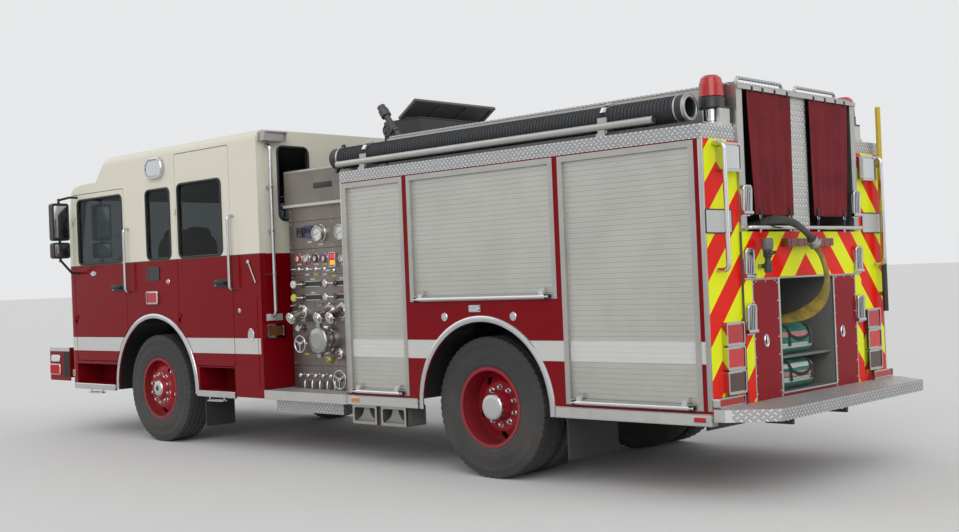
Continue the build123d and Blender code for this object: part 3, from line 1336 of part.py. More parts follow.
def hosebed_lid():
    """The left top lid with a tube rail near its rear edge."""
    x0, x1 = body_rear_x + 4, body_front_x - hosebed_front_inset - 4
    y0, y1 = lid_gap / 2, hosebed_y - 24
    z = hosebed_top_z + fit_gap
    lid = block(x0, x1, y0, y1, z, z + bed_lid_thickness)
    lid += rod("X", 0, hosebed_y - 12, z + 8, x0 + 40, x1 - 40, 7)
    lid += block(x0 + 40, x1 - 40, hosebed_y - 26, hosebed_y - 12, z, z + 12)
    rail_z = z + bed_lid_thickness + 45
    rail = tube([(x0 + 60, y0 + 90, z + bed_lid_thickness - 1), (x0 + 60, y0 + 90, rail_z),
                 (x0 + 60, y1 - 120, rail_z), (x0 + 60, y1 - 120, z + bed_lid_thickness - 1)], 30, 12)
    return lid + rail


# Rear face: plate with the centre locker's opening, and the locker behind it
locker_half = 390
rear_locker_depth = 850
band_z = (1430, 1750)
rear_floor_z = 616


def rear_body():
    """The rear face between the corner columns, with the open centre locker and its shelf."""
    x0, x1 = body_rear_x - rear_plate, body_rear_x + rear_locker_depth + 30
    shape = block(x0, body_rear_x, -hosebed_y, hosebed_y, rear_floor_z, hosebed_floor_z)
    shape += block(body_rear_x, x1, -locker_inner_y, locker_inner_y, rear_floor_z, locker_upper_z)
    shape -= block(x0 - 5, x1 - 30, -locker_half, locker_half, rear_floor_z + 24, band_z[0])
    shape += block(body_rear_x + 20, x1 - 20, -locker_half - 5, locker_half + 5, 868, 886)
    return shape


def water_tank():
    """The tank between the locker rows, resting on the chassis rails."""
    return block(body_rear_x + rear_locker_depth + 40, body_front_x - 40, -locker_inner_y, locker_inner_y,
                 rail_top_z, locker_upper_z)


def hosebed_curtains():
    """Two cloth curtains that hang over the open rear of the hose bay."""
    pieces = []
    for y0, y1 in ((centre_strip_y + 12, curtain_y), (-curtain_y, -centre_strip_y - 12)):
        top = hosebed_top_z - header_height - fit_gap
        pieces.append(block(body_rear_x - 30, body_rear_x - 12, y0, y1, curtain_bottom_z, top))
    return pieces


save("side_lockers", both(side_locker()))
save("shutter_frames", shutter_frames())
save("roll_shutters", roll_shutters())
save("hosebed", hosebed())
save("treadplate_caps", treadplate_caps())
save("deck_gun", deck_gun())
save("hosebed_lid_left", hosebed_lid())
save("hosebed_lid_right", other_side(hosebed_lid()))
save("rear_body", rear_body())
save("water_tank", water_tank())
save("hosebed_curtains", hosebed_curtains())

# Running boards, tailboard, mud flaps
board_depth = 60
board_proud = 12
board_z = (503, 583)
tail_thickness = 80
tail_corner = 220


def running_boards():
    """Side boards under the lockers, pump steps, and the front mud flap brackets."""
    low, high = board_z
    y0, y1 = side_y - board_depth, side_y + board_proud
    reach = sqrt((arch_radius_rear + arch_trim_width + 6) ** 2 - (tyre_radius - high) ** 2) + 4
    pieces = both(block(body_rear_x, rear_axle_x - reach, y0, y1, low, high))
    pieces += both(block(rear_axle_x + reach, body_front_x, y0, y1, low, high))
    for side in (1, -1):
        a, b = sorted((side * (rail_y + 20), side * y1))
        step = block(pump_rear_x - 15, pump_front_x + cab_gap - 50, a, b, low + 30, high)
        a, b = sorted((side * (y1 - 12), side * y1))
        step += block(pump_rear_x - 15, pump_front_x + cab_gap - 50, a, b, low - 3, high)
        a, b = sorted((side * (y1 - 160), side * (y1 - 60)))
        step += block(pump_rear_x + 100, pump_front_x, a, b, 400, low + 31)
        a, b = sorted((side * (rail_y + fit_gap), side * (rail_y + 24)))
        for x in (pump_rear_x + 150, pump_front_x - 150):
            step += block(x - 25, x + 25, a, b, low + 30, rail_bottom_z + 80)
        pieces.append(step)
    return pieces


def tailboard():
    """The rear step with chamfered corners."""
    half = side_y + board_proud
    outline = [(body_rear_x - rear_plate, -half), (body_rear_x - rear_plate - 80, -half), (rear_x, tail_corner - half),
               (rear_x, half - tail_corner), (body_rear_x - rear_plate - 80, half), (body_rear_x - rear_plate, half)]
    shape = outline_z(outline, tailboard_top_z - tail_thickness, tailboard_top_z)
    inner = [(x + (14 if x < body_rear_x - rear_plate - 100 else 0), y * 0.985) for x, y in outline]
    inner[0] = (body_rear_x - rear_plate + 5, inner[0][1])
    inner[5] = (body_rear_x - rear_plate + 5, inner[5][1])
    shape -= outline_z(inner, 0, tailboard_top_z - 14)
    for side in (1, -1):
        y0, y1 = sorted((side * (rail_y - rail_flange), side * rail_y))
        shape += block(rear_x + 14, body_rear_x, y0, y1, tailboard_top_z - tail_thickness + 5, tailboard_top_z - 13)
    return shape


def mud_flaps():
    """Rubber flaps behind the front and the rear wheels, each on its bar from the frame's bracket."""
    flaps = []
    for x, inner in ((rear_flap_x, flap_y[0]), (front_flap_x, 850)):
        flap = block(x - flap_thickness / 2, x + flap_thickness / 2, inner, flap_y[1], 190, flap_bar_z)
        flap += rod("Y", x, 0, flap_bar_z, rail_y + flap_bracket + fit_gap, flap_y[1], flap_bar_radius)
        flaps += both(flap)
    return flaps


save("running_boards", running_boards())
save("tailboard", tailboard())
save("mud_flaps", mud_flaps())

# Rear handrails, arch rings of the rear wheels, folding steps
rear_rail_y = 1120
rear_rail_z = (1500, 2320)
level_rail_z = 1775
step_y = 790
step_places = (1965, 1545, 1175)


# Above the rear wheel: two filler ports and a D-shaped pull. Places are forward from the body's rear
port_places = (1670, 2380)
port_z = 1222
port_radius = 33
pull_place = 2056
pull_z = 1284


def arch_fittings():
    """The filler ports with their caps, and the D-shaped pull on its back plate."""
    pieces = []
    for place in port_places:
        pieces.append(turned([(0, 0), (port_radius, 0), (port_radius, 4), (port_radius - 5, 8),
                              (port_radius - 11, 8), (port_radius - 13, 4), (0, 4)], on_body(place), side_y, port_z))
    x = on_body(pull_place)
    plate = window(x - 62, x + 62, pull_z - 26, pull_z + 26, 10, side_y, side_y + 4)
    plate += tube([(x + 50, side_y + 2, pull_z + 14), (x + 50, side_y + 16, pull_z + 14),
                   (x - 54, side_y + 16, pull_z + 14), (x - 54, side_y + 16, pull_z - 14),
                   (x + 50, side_y + 16, pull_z - 14), (x + 50, side_y + 2, pull_z - 14)], 11, 5)
    return pieces + [plate]


def body_rails():
    """Upright rails at the rear corners, the level hose rail and the rear arch rings."""
    x = body_rear_x - 85
    rails = both(tube([(body_rear_x, rear_rail_y, rear_rail_z[0]), (x, rear_rail_y, rear_rail_z[0]),
                       (x, rear_rail_y, rear_rail_z[1]), (body_rear_x, rear_rail_y, rear_rail_z[1])], 36, 16))
    x = body_rear_x - rear_plate
    end_y = (post_y + hosebed_y) / 2
    level = tube([(x, end_y, level_rail_z), (x - 60, end_y, level_rail_z), (x - 60, -end_y, level_rail_z),
                  (x, -end_y, level_rail_z)], 36, 14)
    ring = arch_ring(rear_axle_x, arch_radius_rear, side_y)
    fittings = [piece for fitting in arch_fittings() for piece in both(fitting)]
    return rails + [level] + both(ring) + fittings


def folding_steps():
    """Folding steps, shown folded up: a back plate, a hinge barrel and three rungs in a bent frame."""
    pieces = []
    x1 = body_rear_x - rear_plate
    middle = step_y - 6
    for z in step_places:
        step = window_x(middle - 56, middle + 56, z - 112, z + 70, 14, x1 - 6, x1)
        step += rod("Y", x1 - 16, 0, z - 90, middle - 60, middle + 60, 15)
        step += tube([(x1 - 16, middle - 48, z - 90), (x1 - 22, middle - 48, z + 88),
                      (x1 - 22, middle + 48, z + 88), (x1 - 16, middle + 48, z - 90)], 22, 8)
        for rung in (-22, 0, 22):
            step += block(x1 - 28, x1 - 16, middle + rung - 5, middle + rung + 5, z - 86, z + 86)
        pieces += both(step)
    return pieces


save("rails_and_steps", body_rails() + folding_steps())


# Lamps at the rear: clusters, corner lamps, floodlights, warning bar and the two beacons
beacon_y = 935
# Lamp housings on the left column. Each row: inner y, outer y, bottom, top, depth, rim
lamp_housings = [(885, 1105, 1005, 1160, 42, 12), (885, 1105, 848, 1003, 42, 12), (885, 1105, 691, 846, 42, 12),
                 (930, 1245, tailboard_top_z + 2, 684, 55, 8), (868, 1088, 2140, 2330, 60, 14)]
lens_setback = 12


def rear_lamps():
    """All lamps fixed to the rear of the body."""
    x = body_rear_x
    pieces = []
    for y0, y1, z0, z1, depth, rim in lamp_housings:
        housing = window_x(y0, y1, z0, z1, 16, x - depth, x)
        housing -= window_x(y0 + rim, y1 - rim, z0 + rim, z1 - rim, 10, x - depth - 5, x + lens_setback - depth)
        housing += window_x(y0 + 1.5 * rim, y1 - 1.5 * rim, z0 + 1.5 * rim, z1 - 1.5 * rim, 6,
                            x + lens_setback - depth - 6, x + lens_setback - depth + 1)
        pieces += both(housing)
    pieces += both(window_x(932, 1238, 1744, 1892, 8, x - 4, x))
    bar = block(x - rear_plate - 50, x - rear_plate, -330, 330, 1645, 1700)
    for end in range(-3, 4):
        bar -= block(x - rear_plate - 60, x - rear_plate - 42, end * 94 - 3, end * 94 + 3, 1640, 1705)
    pieces.append(bar)
    profile = [(0, 24), (82, 24), (82, 32), (66, 42), (66, 118), (84, 126), (88, 134), (88, 196), (80, 204),
               (84, 208), (80, 290), (68, 330), (46, 348), (0, 354)]
    face = make_face(Polyline(*[(r, 0, z) for r, z in profile], close=True))
    column = Pos(x + 110, beacon_y, body_top_z) * revolve(face, axis=Axis.Z)
    plinth = block(x + 15, x + 205, beacon_y - 88, beacon_y + 88, body_top_z, body_top_z + 25)
    plinth += block(x + 12, x + 40, beacon_y - 60, beacon_y + 60, body_top_z, body_top_z + 132)
    pieces += both(plinth + column)
    return pieces


save("rear_lamps", rear_lamps())

# Hard suction hose and the carrying tube on the left, each in cradles on the locker cap
suction_radius = 90
suction_y = 1125
suction_z = 2575
suction_ends = (180, 3700)
cradle_places = (800, 3280)
tube_radius = 27
tube_y = 1235
tube_ends = (370, 3600)


def suction_hose():
    """The ribbed hard hose with a coupling at each end."""
    x0, x1 = on_body(suction_ends[0]), on_body(suction_ends[1])
    hose = rod("X", 0, suction_y, suction_z, x0, x1, suction_radius - 6)
    for x in (x0 - 30, x1 - 60):
        hose += rod("X", 0, suction_y, suction_z, x, x + 90, suction_radius)
    lug = Pos(x1 - 15, suction_y, suction_z) * Rot(20, 0, 0) * Box(24, 30, 2 * suction_radius + 80)
    hose += fillet(lug.edges().filter_by(Axis.X), 12)
    return hose - rod("X", 0, suction_y, suction_z, x0 - 60, x0 + 60, suction_radius - 22)


def suction_rack():
    """The carrying tube and the cradles with their straps."""
    tube_z = body_top_z + tube_radius + 40
    pieces = [rod("X", 0, tube_y, tube_z, on_body(tube_ends[0]), on_body(tube_ends[1]), tube_radius)]
    cradle_top = suction_z
    rack = pieces[0]
    for place in cradle_places:
        x = on_body(place)
        cradle = block(x - 40, x + 40, suction_y - 108, tube_y + 20, body_top_z, body_top_z + 20)
        cradle += block(x - 30, x + 30, tube_y - 12, tube_y + 12, body_top_z, tube_z)
        cradle += block(x - 40, x + 40, suction_y - 108, suction_y + 108, body_top_z, cradle_top)
        cradle += rod("X", 0, suction_y, suction_z, x - 20, x + 20, suction_radius + 8)
        cradle -= rod("X", 0, suction_y, suction_z, x - 60, x + 60, suction_radius - 5.9)
        rack = rack + cradle
    return rack


save("suction_hose", suction_hose())
save("suction_rack", suction_rack())

# Stowed tools: wheel chocks in holders, the hand nozzle and the long pole
holder_places = (2870, 3220)
holder_length = 300
holder_depth = 220
holder_bottom_z = 345
holder_wall = 6
nozzle_y = 640
nozzle_foot_z = 1470


def chock_holder(x):
    """A box under the left running board with a window in its outer face."""
    y1 = side_y - 10
    y0 = y1 - holder_depth
    t = holder_wall
    low, high = holder_bottom_z, board_z[0]
    holder = block(x, x + holder_length, y0, y1, low, high)
    holder -= block(x + t, x + holder_length - t, y0 + t, y1 - t, low + t, high - t)
    return holder - window(x + 24, x + holder_length - 24, low + 24, high - 22, 18, y1 - t - 5, y1 + 5)


def wheel_chock(x):
    """A chock with a hollow flank on each side, standing on its holder's floor."""
    z = holder_bottom_z + holder_wall + fit_gap
    left, right = x + 24, x + holder_length - 24
    middle = (left + right) / 2
    flanks = [ThreePointArc((right, 0, z + 30), (right - 62, 0, z + 58), (middle + 34, 0, z + 124)),
              Line((middle + 34, 0, z + 124), (middle - 34, 0, z + 124)),
              ThreePointArc((middle - 34, 0, z + 124), (left + 62, 0, z + 58), (left, 0, z + 30)),
              Line((left, 0, z + 30), (left, 0, z)), Line((left, 0, z), (right, 0, z)),
              Line((right, 0, z), (right, 0, z + 30))]
    solid = extrude(make_face(flanks), amount=holder_depth - 50, dir=(0, 1, 0))
    return Pos(0, side_y - 10 - holder_depth + 25, 0) * solid


def hand_nozzle():
    """A nozzle stored upright: grip, ball valve, bumper ring and tip, on its bracket."""
    x = body_rear_x - rear_plate
    profile = [(0, 0), (24, 0), (28, 12), (28, 62), (20, 76), (20, 96), (30, 108), (30, 150), (38, 158),
               (42, 200), (40, 226), (32, 232), (22, 232), (0, 210)]
    face = make_face(Polyline(*[(r, 0, z) for r, z in profile], close=True))
    body = Pos(x - 70, nozzle_y, nozzle_foot_z) * revolve(face, axis=Axis.Z)
    bail = tube([(x - 70, nozzle_y - 34, 1585), (x - 118, nozzle_y - 34, 1610), (x - 118, nozzle_y + 34, 1610),
                 (x - 70, nozzle_y + 34, 1585)], 14, 6)
    hub = rod("Y", x - 70, 0, 1585, nozzle_y - 38, nozzle_y + 38, 12)
    return body + bail + hub + block(x - 70, x, nozzle_y - 16, nozzle_y + 16, 1500, 1530)


def stowed_tools():
    """Chock holders with chocks under the left lockers, a nozzle and a pole at the rear."""
    pieces = []
    for place in holder_places:
        pieces += [chock_holder(on_body(place)), wheel_chock(on_body(place))]
    pieces.append(hand_nozzle())
    pole = rod("Z", body_rear_x - 45, -1190, 0, 1130, 2720, 20)
    for z in (1250, 2250):
        pole += block(body_rear_x - 50, body_rear_x, -1200, -1180, z, z + 30)
    pieces.append(pole)
    return pieces


save("stowed_tools", stowed_tools())

# Equipment bags in the centre locker
bag_rows = [(640.5, 850), (886.5, 1100)]


def equipment_bags():
    """Two soft bags, one on the locker's floor and one on its shelf."""
    bags = []
    for z0, z1 in bag_rows:
        bag = block(body_rear_x + 30, body_rear_x + 380, -250, 300, z0, z1)
        bags.append(fillet(bag.edges().filter_by(Axis.Y), 60))
    return bags


save("equipment_bags", equipment_bags())

# Attack hose: it lies out of the hose bay under the left curtain, over the level rail, and hangs
# down into the centre locker, where it ends on the upper bag
hose_radius = 30
hose_points = [(body_rear_x + 160, 575, 1786), (body_rear_x + 60, 572, 1800), (body_rear_x - 38, 546, 1822),
               (body_rear_x - 122, 476, 1828), (body_rear_x - 176, 378, 1792), (body_rear_x - 198, 262, 1714),
               (body_rear_x - 206, 150, 1612), (body_rear_x - 207, 66, 1496), (body_rear_x - 196, 28, 1374),
               (body_rear_x - 160, 48, 1260), (body_rear_x - 88, 112, 1180), (body_rear_x + 18, 178, 1140),
               (body_rear_x + 130, 212, 1130.4)]
coupling_at = (5, 6)
coupling_bore = hose_radius + 1.2


def corner_radii(points):
    """The largest smooth bend at each corner: 0.45 of the shorter run over the half turn's tangent."""
    radii = []
    for before, here, after in zip(points, points[1:], points[2:]):
        run_in = Vector(*here) - Vector(*before)
        run_out = Vector(*after) - Vector(*here)
        half_turn = radians(run_in.get_angle(run_out) / 2)
        shorter = min(run_in.length, run_out.length)
        radii.append(0.45 * shorter / (sin(half_turn) / cos(half_turn)))
    return radii


def attack_hose():
    """The hose as a tube along its route, cut where its coupling sits."""
    radii = corner_radii(hose_points)
    print("attack hose bend radii", [round(radius) for radius in radii])
    path = FilletPolyline(*hose_points, radius=radii)
    print("attack hose length", round(path.length))
    return sweep(Plane(path @ 0, z_dir=path % 0) * Circle(hose_radius), path=path)


def hose_couplings():
    """The two-part metal coupling round the hose, halfway along one straight run."""
    start, end = Vector(*hose_points[coupling_at[0]]), Vector(*hose_points[coupling_at[1]])
    middle = (start + end) * 0.5
    place = Plane(middle, z_dir=(end - start).normalized())
    sleeve = Cylinder(hose_radius + 14, 26) + Pos(0, 0, -20) * Cylinder(hose_radius + 8, 40)
    for turn in range(3):
        sleeve += Rot(0, 0, 120 * turn) * Pos(hose_radius + 14, 0, 0) * Box(14, 18, 20)
    sleeve -= Cylinder(coupling_bore, 200)
    return place * sleeve


save("attack_hose", attack_hose())
save("hose_couplings", hose_couplings())
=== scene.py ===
# Fire engine: finishes, small fittings, hose, cloth, floor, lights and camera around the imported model.
import math
import random
from functools import reduce

import bmesh
import bpy
from mathutils import Matrix, Vector


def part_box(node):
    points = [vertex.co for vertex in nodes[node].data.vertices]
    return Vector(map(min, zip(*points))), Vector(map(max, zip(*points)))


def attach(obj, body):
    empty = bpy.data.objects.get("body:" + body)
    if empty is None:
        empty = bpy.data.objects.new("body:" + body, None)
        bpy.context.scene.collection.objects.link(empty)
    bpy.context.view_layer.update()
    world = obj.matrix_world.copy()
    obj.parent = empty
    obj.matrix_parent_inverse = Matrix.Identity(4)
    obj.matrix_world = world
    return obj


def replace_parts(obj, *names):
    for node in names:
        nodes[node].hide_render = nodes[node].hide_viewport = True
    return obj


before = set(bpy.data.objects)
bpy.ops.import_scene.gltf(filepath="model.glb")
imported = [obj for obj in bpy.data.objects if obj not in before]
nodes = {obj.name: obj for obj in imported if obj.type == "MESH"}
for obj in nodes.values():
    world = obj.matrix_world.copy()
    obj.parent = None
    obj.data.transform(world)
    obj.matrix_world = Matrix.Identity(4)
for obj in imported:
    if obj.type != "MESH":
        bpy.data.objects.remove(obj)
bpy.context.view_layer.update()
scene = bpy.context.scene
print("frame loaded:", len(nodes), "nodes")

# Places on the vehicle, in metres, as the model has them
vehicle = {
    "sideY": 1.25,
    "cabY": 1.22,
    "panelY": 0.99,
    "boardY": 1.262,
    "bodyRearX": -4.215,
    "bodyFrontX": -0.655,
    "pumpFrontX": 0.385,
    "cabRearX": 0.535,
    "cabFrontX": 4.075,
    "bumperRearX": 4.105,
    "frontAxleX": 2.32,
    "rearAxleX": -2.215,
    "axleZ": 0.535,
    "beltZ": 1.815,
    "stripeZ": (0.901, 1.045),
    "capZ": (2.353, 2.445),
}
bothWays = (("left", 1), ("right", -1))


def alongCab(setback):
    return vehicle["cabFrontX"] - setback


def onPanel(setback):
    return vehicle["pumpFrontX"] - setback


def onBody(place):
    return vehicle["bodyRearX"] + place


# Camera, at the angle of the photograph
viewpoint = {
    "place": (-8.549, 7.946, 1.510),
    "yaw": -0.814,
    "pitch": 0.010,
    "roll": -0.040,
    "lens": 46.13,
}


def makeCamera():
    yaw, pitch, roll = viewpoint["yaw"], viewpoint["pitch"], viewpoint["roll"]
    ahead = Vector((math.cos(yaw) * math.cos(pitch), math.sin(yaw) * math.cos(pitch), math.sin(pitch)))
    across = Vector((math.sin(yaw), -math.cos(yaw), 0.0))
    upward = across.cross(ahead)
    right = across * math.cos(roll) + upward * math.sin(roll)
    up = upward * math.cos(roll) - across * math.sin(roll)
    data = bpy.data.cameras.new("camera")
    data.lens = viewpoint["lens"]
    data.sensor_width = 36.0
    camera = bpy.data.objects.new("camera", data)
    turn = Matrix((right, up, -ahead)).transposed().to_4x4()
    camera.matrix_world = Matrix.Translation(viewpoint["place"]) @ turn
    scene.collection.objects.link(camera)
    scene.camera = camera


makeCamera()


# Node maths: a Link wraps one output socket, and an expression on it adds Math nodes
class Link:
    def __init__(self, wiring, socket):
        self.wiring = wiring
        self.socket = socket

    def maths(self, operation, *others, clamp=False):
        inputs = dict(enumerate((self, *others)))
        return self.wiring.node("ShaderNodeMath", {"operation": operation, "use_clamp": clamp}, inputs)

    def __add__(self, other):
        return self.maths("ADD", other)

    def __mul__(self, other):
        return self.maths("MULTIPLY", other)

    __radd__, __rmul__ = __add__, __mul__

    def __sub__(self, other):
        return self.maths("SUBTRACT", other)

    def __rsub__(self, other):
        return (self * -1.0) + other

    def __truediv__(self, other):
        return self.maths("DIVIDE", other)

    def __lt__(self, other):
        return self.maths("LESS_THAN", other)

    def __gt__(self, other):
        return self.maths("GREATER_THAN", other)

    def __abs__(self):
        return self.maths("ABSOLUTE")

    def wave(self):
        return self.maths("SINE")

    def part(self):
        return self.maths("FRACT")

    def whole(self):
        return self.maths("FLOOR")

    def power(self, other):
        return self.maths("POWER", other)

    def most(self, other):
        return self.maths("MAXIMUM", other)

    def ramp(self, low, high):  # 0 below low, 1 above high, smooth between
        settings = {"interpolation_type": "SMOOTHSTEP"}
        inputs = {"Value": self, "From Min": low, "From Max": high}
        return self.wiring.node("ShaderNodeMapRange", settings, inputs)


# What materials and Geometry Nodes trees share: node() adds any node and feeds its sockets
class Wiring:
    def node(self, kind, settings=None, inputs=None, output=0):
        made = self.tree.nodes.new(kind)
        for key, value in (settings or {}).items():
            setattr(made, key, value)
        for key, value in (inputs or {}).items():
            self.feed(made.inputs[key], value)
        return Link(self, made.outputs[output])

    def feed(self, socket, value):
        if isinstance(value, Link):
            self.tree.links.new(value.socket, socket)
        elif isinstance(value, (tuple, list)) and len(value) == 3 and socket.type == "RGBA":
            socket.default_value = (*value, 1.0)
        else:
            socket.default_value = value

    def pick(self, factor, low, high):  # between two numbers
        return self.node("ShaderNodeMix", {"data_type": "FLOAT"}, {0: factor, 2: low, 3: high})


def shaded(color, share):
    return tuple(part * share for part in color)


# One material under construction
class Finish(Wiring):
    def __init__(self, name, **plain):
        self.material = bpy.data.materials.new(name)
        self.material.use_nodes = True
        self.tree = self.material.node_tree
        self.places = self.node("ShaderNodeTexCoord", output="Object")
        self.known = {}
        self.paint(**plain)

    def paint(self, **sockets):
        shader = self.tree.nodes["Principled BSDF"]
        for name, value in sockets.items():
            self.feed(shader.inputs[name.replace("_", " ")], value)
        return self.material

    def once(self, key, make):  # nodes that one material asks for many times
        if key not in self.known:
            self.known[key] = make()
        return self.known[key]

    def letter(self, vector, letter):
        return self.node("ShaderNodeSeparateXYZ", None, {0: vector}, letter)

    def axis(self, letter):
        return self.once(letter, lambda: self.letter(self.places, letter))

    def across(self):  # distance from the vehicle's middle
        return self.once("across", lambda: abs(self.axis("Y")))

    def faces(self, letter):  # 1 where the surface is about square to one axis
        def make():
            return abs(self.letter(self.node("ShaderNodeTexCoord", output="Normal"), letter)) > 0.7

        return self.once("faces" + letter, make)

    def inside(self, x=None, y=None, z=None):  # 1 inside a box; y is a distance from the middle
        mask = None
        for value, span in ((self.axis("X"), x), (self.across(), y), (self.axis("Z"), z)):
            if span:
                within = (value > span[0]) * (value < span[1])
                mask = within if mask is None else mask * within
        return mask

    def disc(self, x, z, radius, hole=0.0):  # 1 inside a round seen from the side
        dx, dz = self.axis("X") - x, self.axis("Z") - z
        square = dx * dx + dz * dz
        mask = square < radius * radius
        return mask * (square > hole * hole) if hole else mask

    def mix(self, factor, low, high):
        return self.node("ShaderNodeMix", {"data_type": "RGBA"}, {0: factor, 6: low, 7: high}, 2)

    def over(self, color, *layers):  # each layer is (mask, color), and a later one lies over an earlier
        for mask, tone in layers:
            color = self.mix(mask, color, tone)
        return color

    def mottled(self, patches, color, share, other=0.8):  # patches of a darker or lighter shade
        return self.mix(patches.ramp(0.35, 0.75) * share, color, shaded(color, other))

    def noise(self, scale, detail=3.0, rough=0.55, places=None):
        inputs = {"Vector": places or self.places, "Scale": scale, "Detail": detail, "Roughness": rough}
        return self.node("ShaderNodeTexNoise", None, inputs, "Fac")

    def stretched(self, sx, sy, sz):
        return self.node("ShaderNodeMapping", None, {"Vector": self.places, "Scale": (sx, sy, sz)})

    def cells(self, scale):
        return self.node("ShaderNodeTexVoronoi", None, {"Vector": self.places, "Scale": scale}, "Distance")

    def bump(self, height, strength, distance):
        inputs = {"Height": height, "Strength": strength, "Distance": distance}
        return self.node("ShaderNodeBump", None, inputs, "Normal")


# One Geometry Nodes tree under construction, with named inputs for its sizes
class Plan(Wiring):
    def __init__(self, name, **sizes):
        self.tree = bpy.data.node_groups.new(name, "GeometryNodeTree")
        self.sockets = {}
        self.declare("Points", "NodeSocketGeometry")
        for label, value in sizes.items():
            kind = "NodeSocketInt" if isinstance(value, int) else "NodeSocketFloat"
            self.declare(label, kind).default_value = value
        self.declare("material", "NodeSocketMaterial")
        self.declare("Result", "NodeSocketGeometry", "OUTPUT")
        self.start = self.tree.nodes.new("NodeGroupInput")
        self.end = self.tree.nodes.new("NodeGroupOutput")

    def declare(self, label, kind, way="INPUT"):
        socket = self.tree.interface.new_socket(label, in_out=way, socket_type=kind)
        self.sockets[label] = socket.identifier
        return socket

    def given(self, label):
        return Link(self, self.start.outputs[label])

    def vector(self, x, y, z):
        return self.node("ShaderNodeCombineXYZ", None, {"X": x, "Y": y, "Z": z})

    def moved(self, shape, **inputs):
        return self.node("GeometryNodeTransform", None, {"Geometry": shape, **inputs})

    def cone(self, sides, low, high, depth, lift=None):
        inputs = {"Vertices": sides, "Radius Bottom": low, "Radius Top": high, "Depth": depth}
        made = self.node("GeometryNodeMeshCone", None, inputs)
        return made if lift is None else self.moved(made, Translation=self.vector(0.0, 0.0, lift))

    def circle(self, sides, radius):
        return self.node("GeometryNodeCurvePrimitiveCircle", None, {"Resolution": sides, "Radius": radius})

    def swept(self, line, section, caps=False):
        inputs = {"Curve": line, "Profile Curve": section, "Fill Caps": caps}
        return self.node("GeometryNodeCurveToMesh", None, inputs)

    def join(self, *shapes):
        made = self.tree.nodes.new("GeometryNodeJoinGeometry")
        for shape in shapes:
            self.tree.links.new(shape.socket, made.inputs[0])
        return Link(self, made.outputs[0])

    def named(self, label):
        return self.node("GeometryNodeInputNamedAttribute", {"data_type": "FLOAT_VECTOR"}, {"Name": label})

    def close(self, shape):
        real = self.node("GeometryNodeRealizeInstances", None, {"Geometry": shape})
        inputs = {"Geometry": real, "Material": self.given("material")}
        dressed = self.node("GeometryNodeSetMaterial", None, inputs)
        self.tree.links.new(dressed.socket, self.end.inputs[0])
        return self

    def repeat(self, shape):  # one shape at every point, up along "aim" and turned to "side"
        turned = self.node("FunctionNodeAlignRotationToVector", {"axis": "Z"}, {"Vector": self.named("aim")})
        inputs = {"Rotation": turned, "Vector": self.named("side")}
        turned = self.node("FunctionNodeAlignRotationToVector", {"axis": "X", "pivot_axis": "Z"}, inputs)
        inputs = {"Points": self.given("Points"), "Instance": shape, "Rotation": turned}
        return self.close(self.node("GeometryNodeInstanceOnPoints", None, inputs))


# Finishes
paints = {
    "red": (0.205, 0.0015, 0.006),
    "cream": (0.74, 0.71, 0.605),
    "stripe": (0.58, 0.58, 0.56),
    "goldLine": (0.10, 0.055, 0.02),
    "dirt": (0.15, 0.13, 0.11),
    "black": (0.02, 0.02, 0.021),
    "wheelWell": (0.018, 0.018, 0.019),
    "cabTrim": (0.045, 0.045, 0.048),
    "bright": (0.6, 0.6, 0.61),
}


def dust(finish, strength=0.5):  # more of it low on the vehicle
    patches = finish.noise(3.0, 5.0)
    low = 1.0 - finish.axis("Z").ramp(0.25, 1.1)
    return (low * patches * strength).maths("MULTIPLY", 1.0, clamp=True)


def dusty(finish, color, strength):
    return finish.mix(dust(finish, strength), color, paints["dirt"])


def gloss(finish, color, dirt=0.08):  # coated vehicle paint with faint ripple and dust
    ripple = finish.noise(140.0, 2.0) * 0.25 + finish.noise(2.6, 2.0)
    rough = dust(finish, 0.8) * 0.35 + finish.noise(9.0, 4.0) * 0.08 + 0.18
    return finish.paint(Base_Color=dusty(finish, color, dirt), Roughness=rough,
                        Normal=finish.bump(ripple, 0.1, 0.004))


def paintFinish(name):
    return Finish(name, Coat_Weight=0.06, Coat_Roughness=0.05, IOR=1.2)


outside = 1.3  # for the masks: further out than the sides


def stripeMask(finish, front=None):
    span = None if front is None else (front, vehicle["cabFrontX"] + 1.0)
    return finish.inside(x=span, y=(1.15, 2.0), z=vehicle["stripeZ"]) * finish.faces("Y")


def rearMask(finish):  # the body's rear faces
    return finish.inside(x=(-4.3, -4.2)) * finish.faces("X")


chevrons = {
    "red": (0.82, 0.012, 0.004),
    "yellow": (0.84, 0.90, 0.006),
    "start": 1.81,
    "pitch": 0.425,
}


def chevronColor(finish):  # bands that climb towards the middle
    climb = (finish.axis("Z") + finish.across() - chevrons["start"]) / chevrons["pitch"]
    return finish.mix(climb.part() < 0.5, chevrons["yellow"], chevrons["red"])


def lockerPaint():  # red sides with the white stripe, chevrons on the rear faces
    finish = paintFinish("lockerPaint")
    color = finish.mix(stripeMask(finish), paints["red"], paints["stripe"])
    color = finish.mix(rearMask(finish), color, chevronColor(finish))
    wells = finish.inside(x=(-2.95, -1.48), y=(0.0, 1.235), z=(0.0, 1.22))
    return gloss(finish, finish.mix(wells, color, paints["black"]))


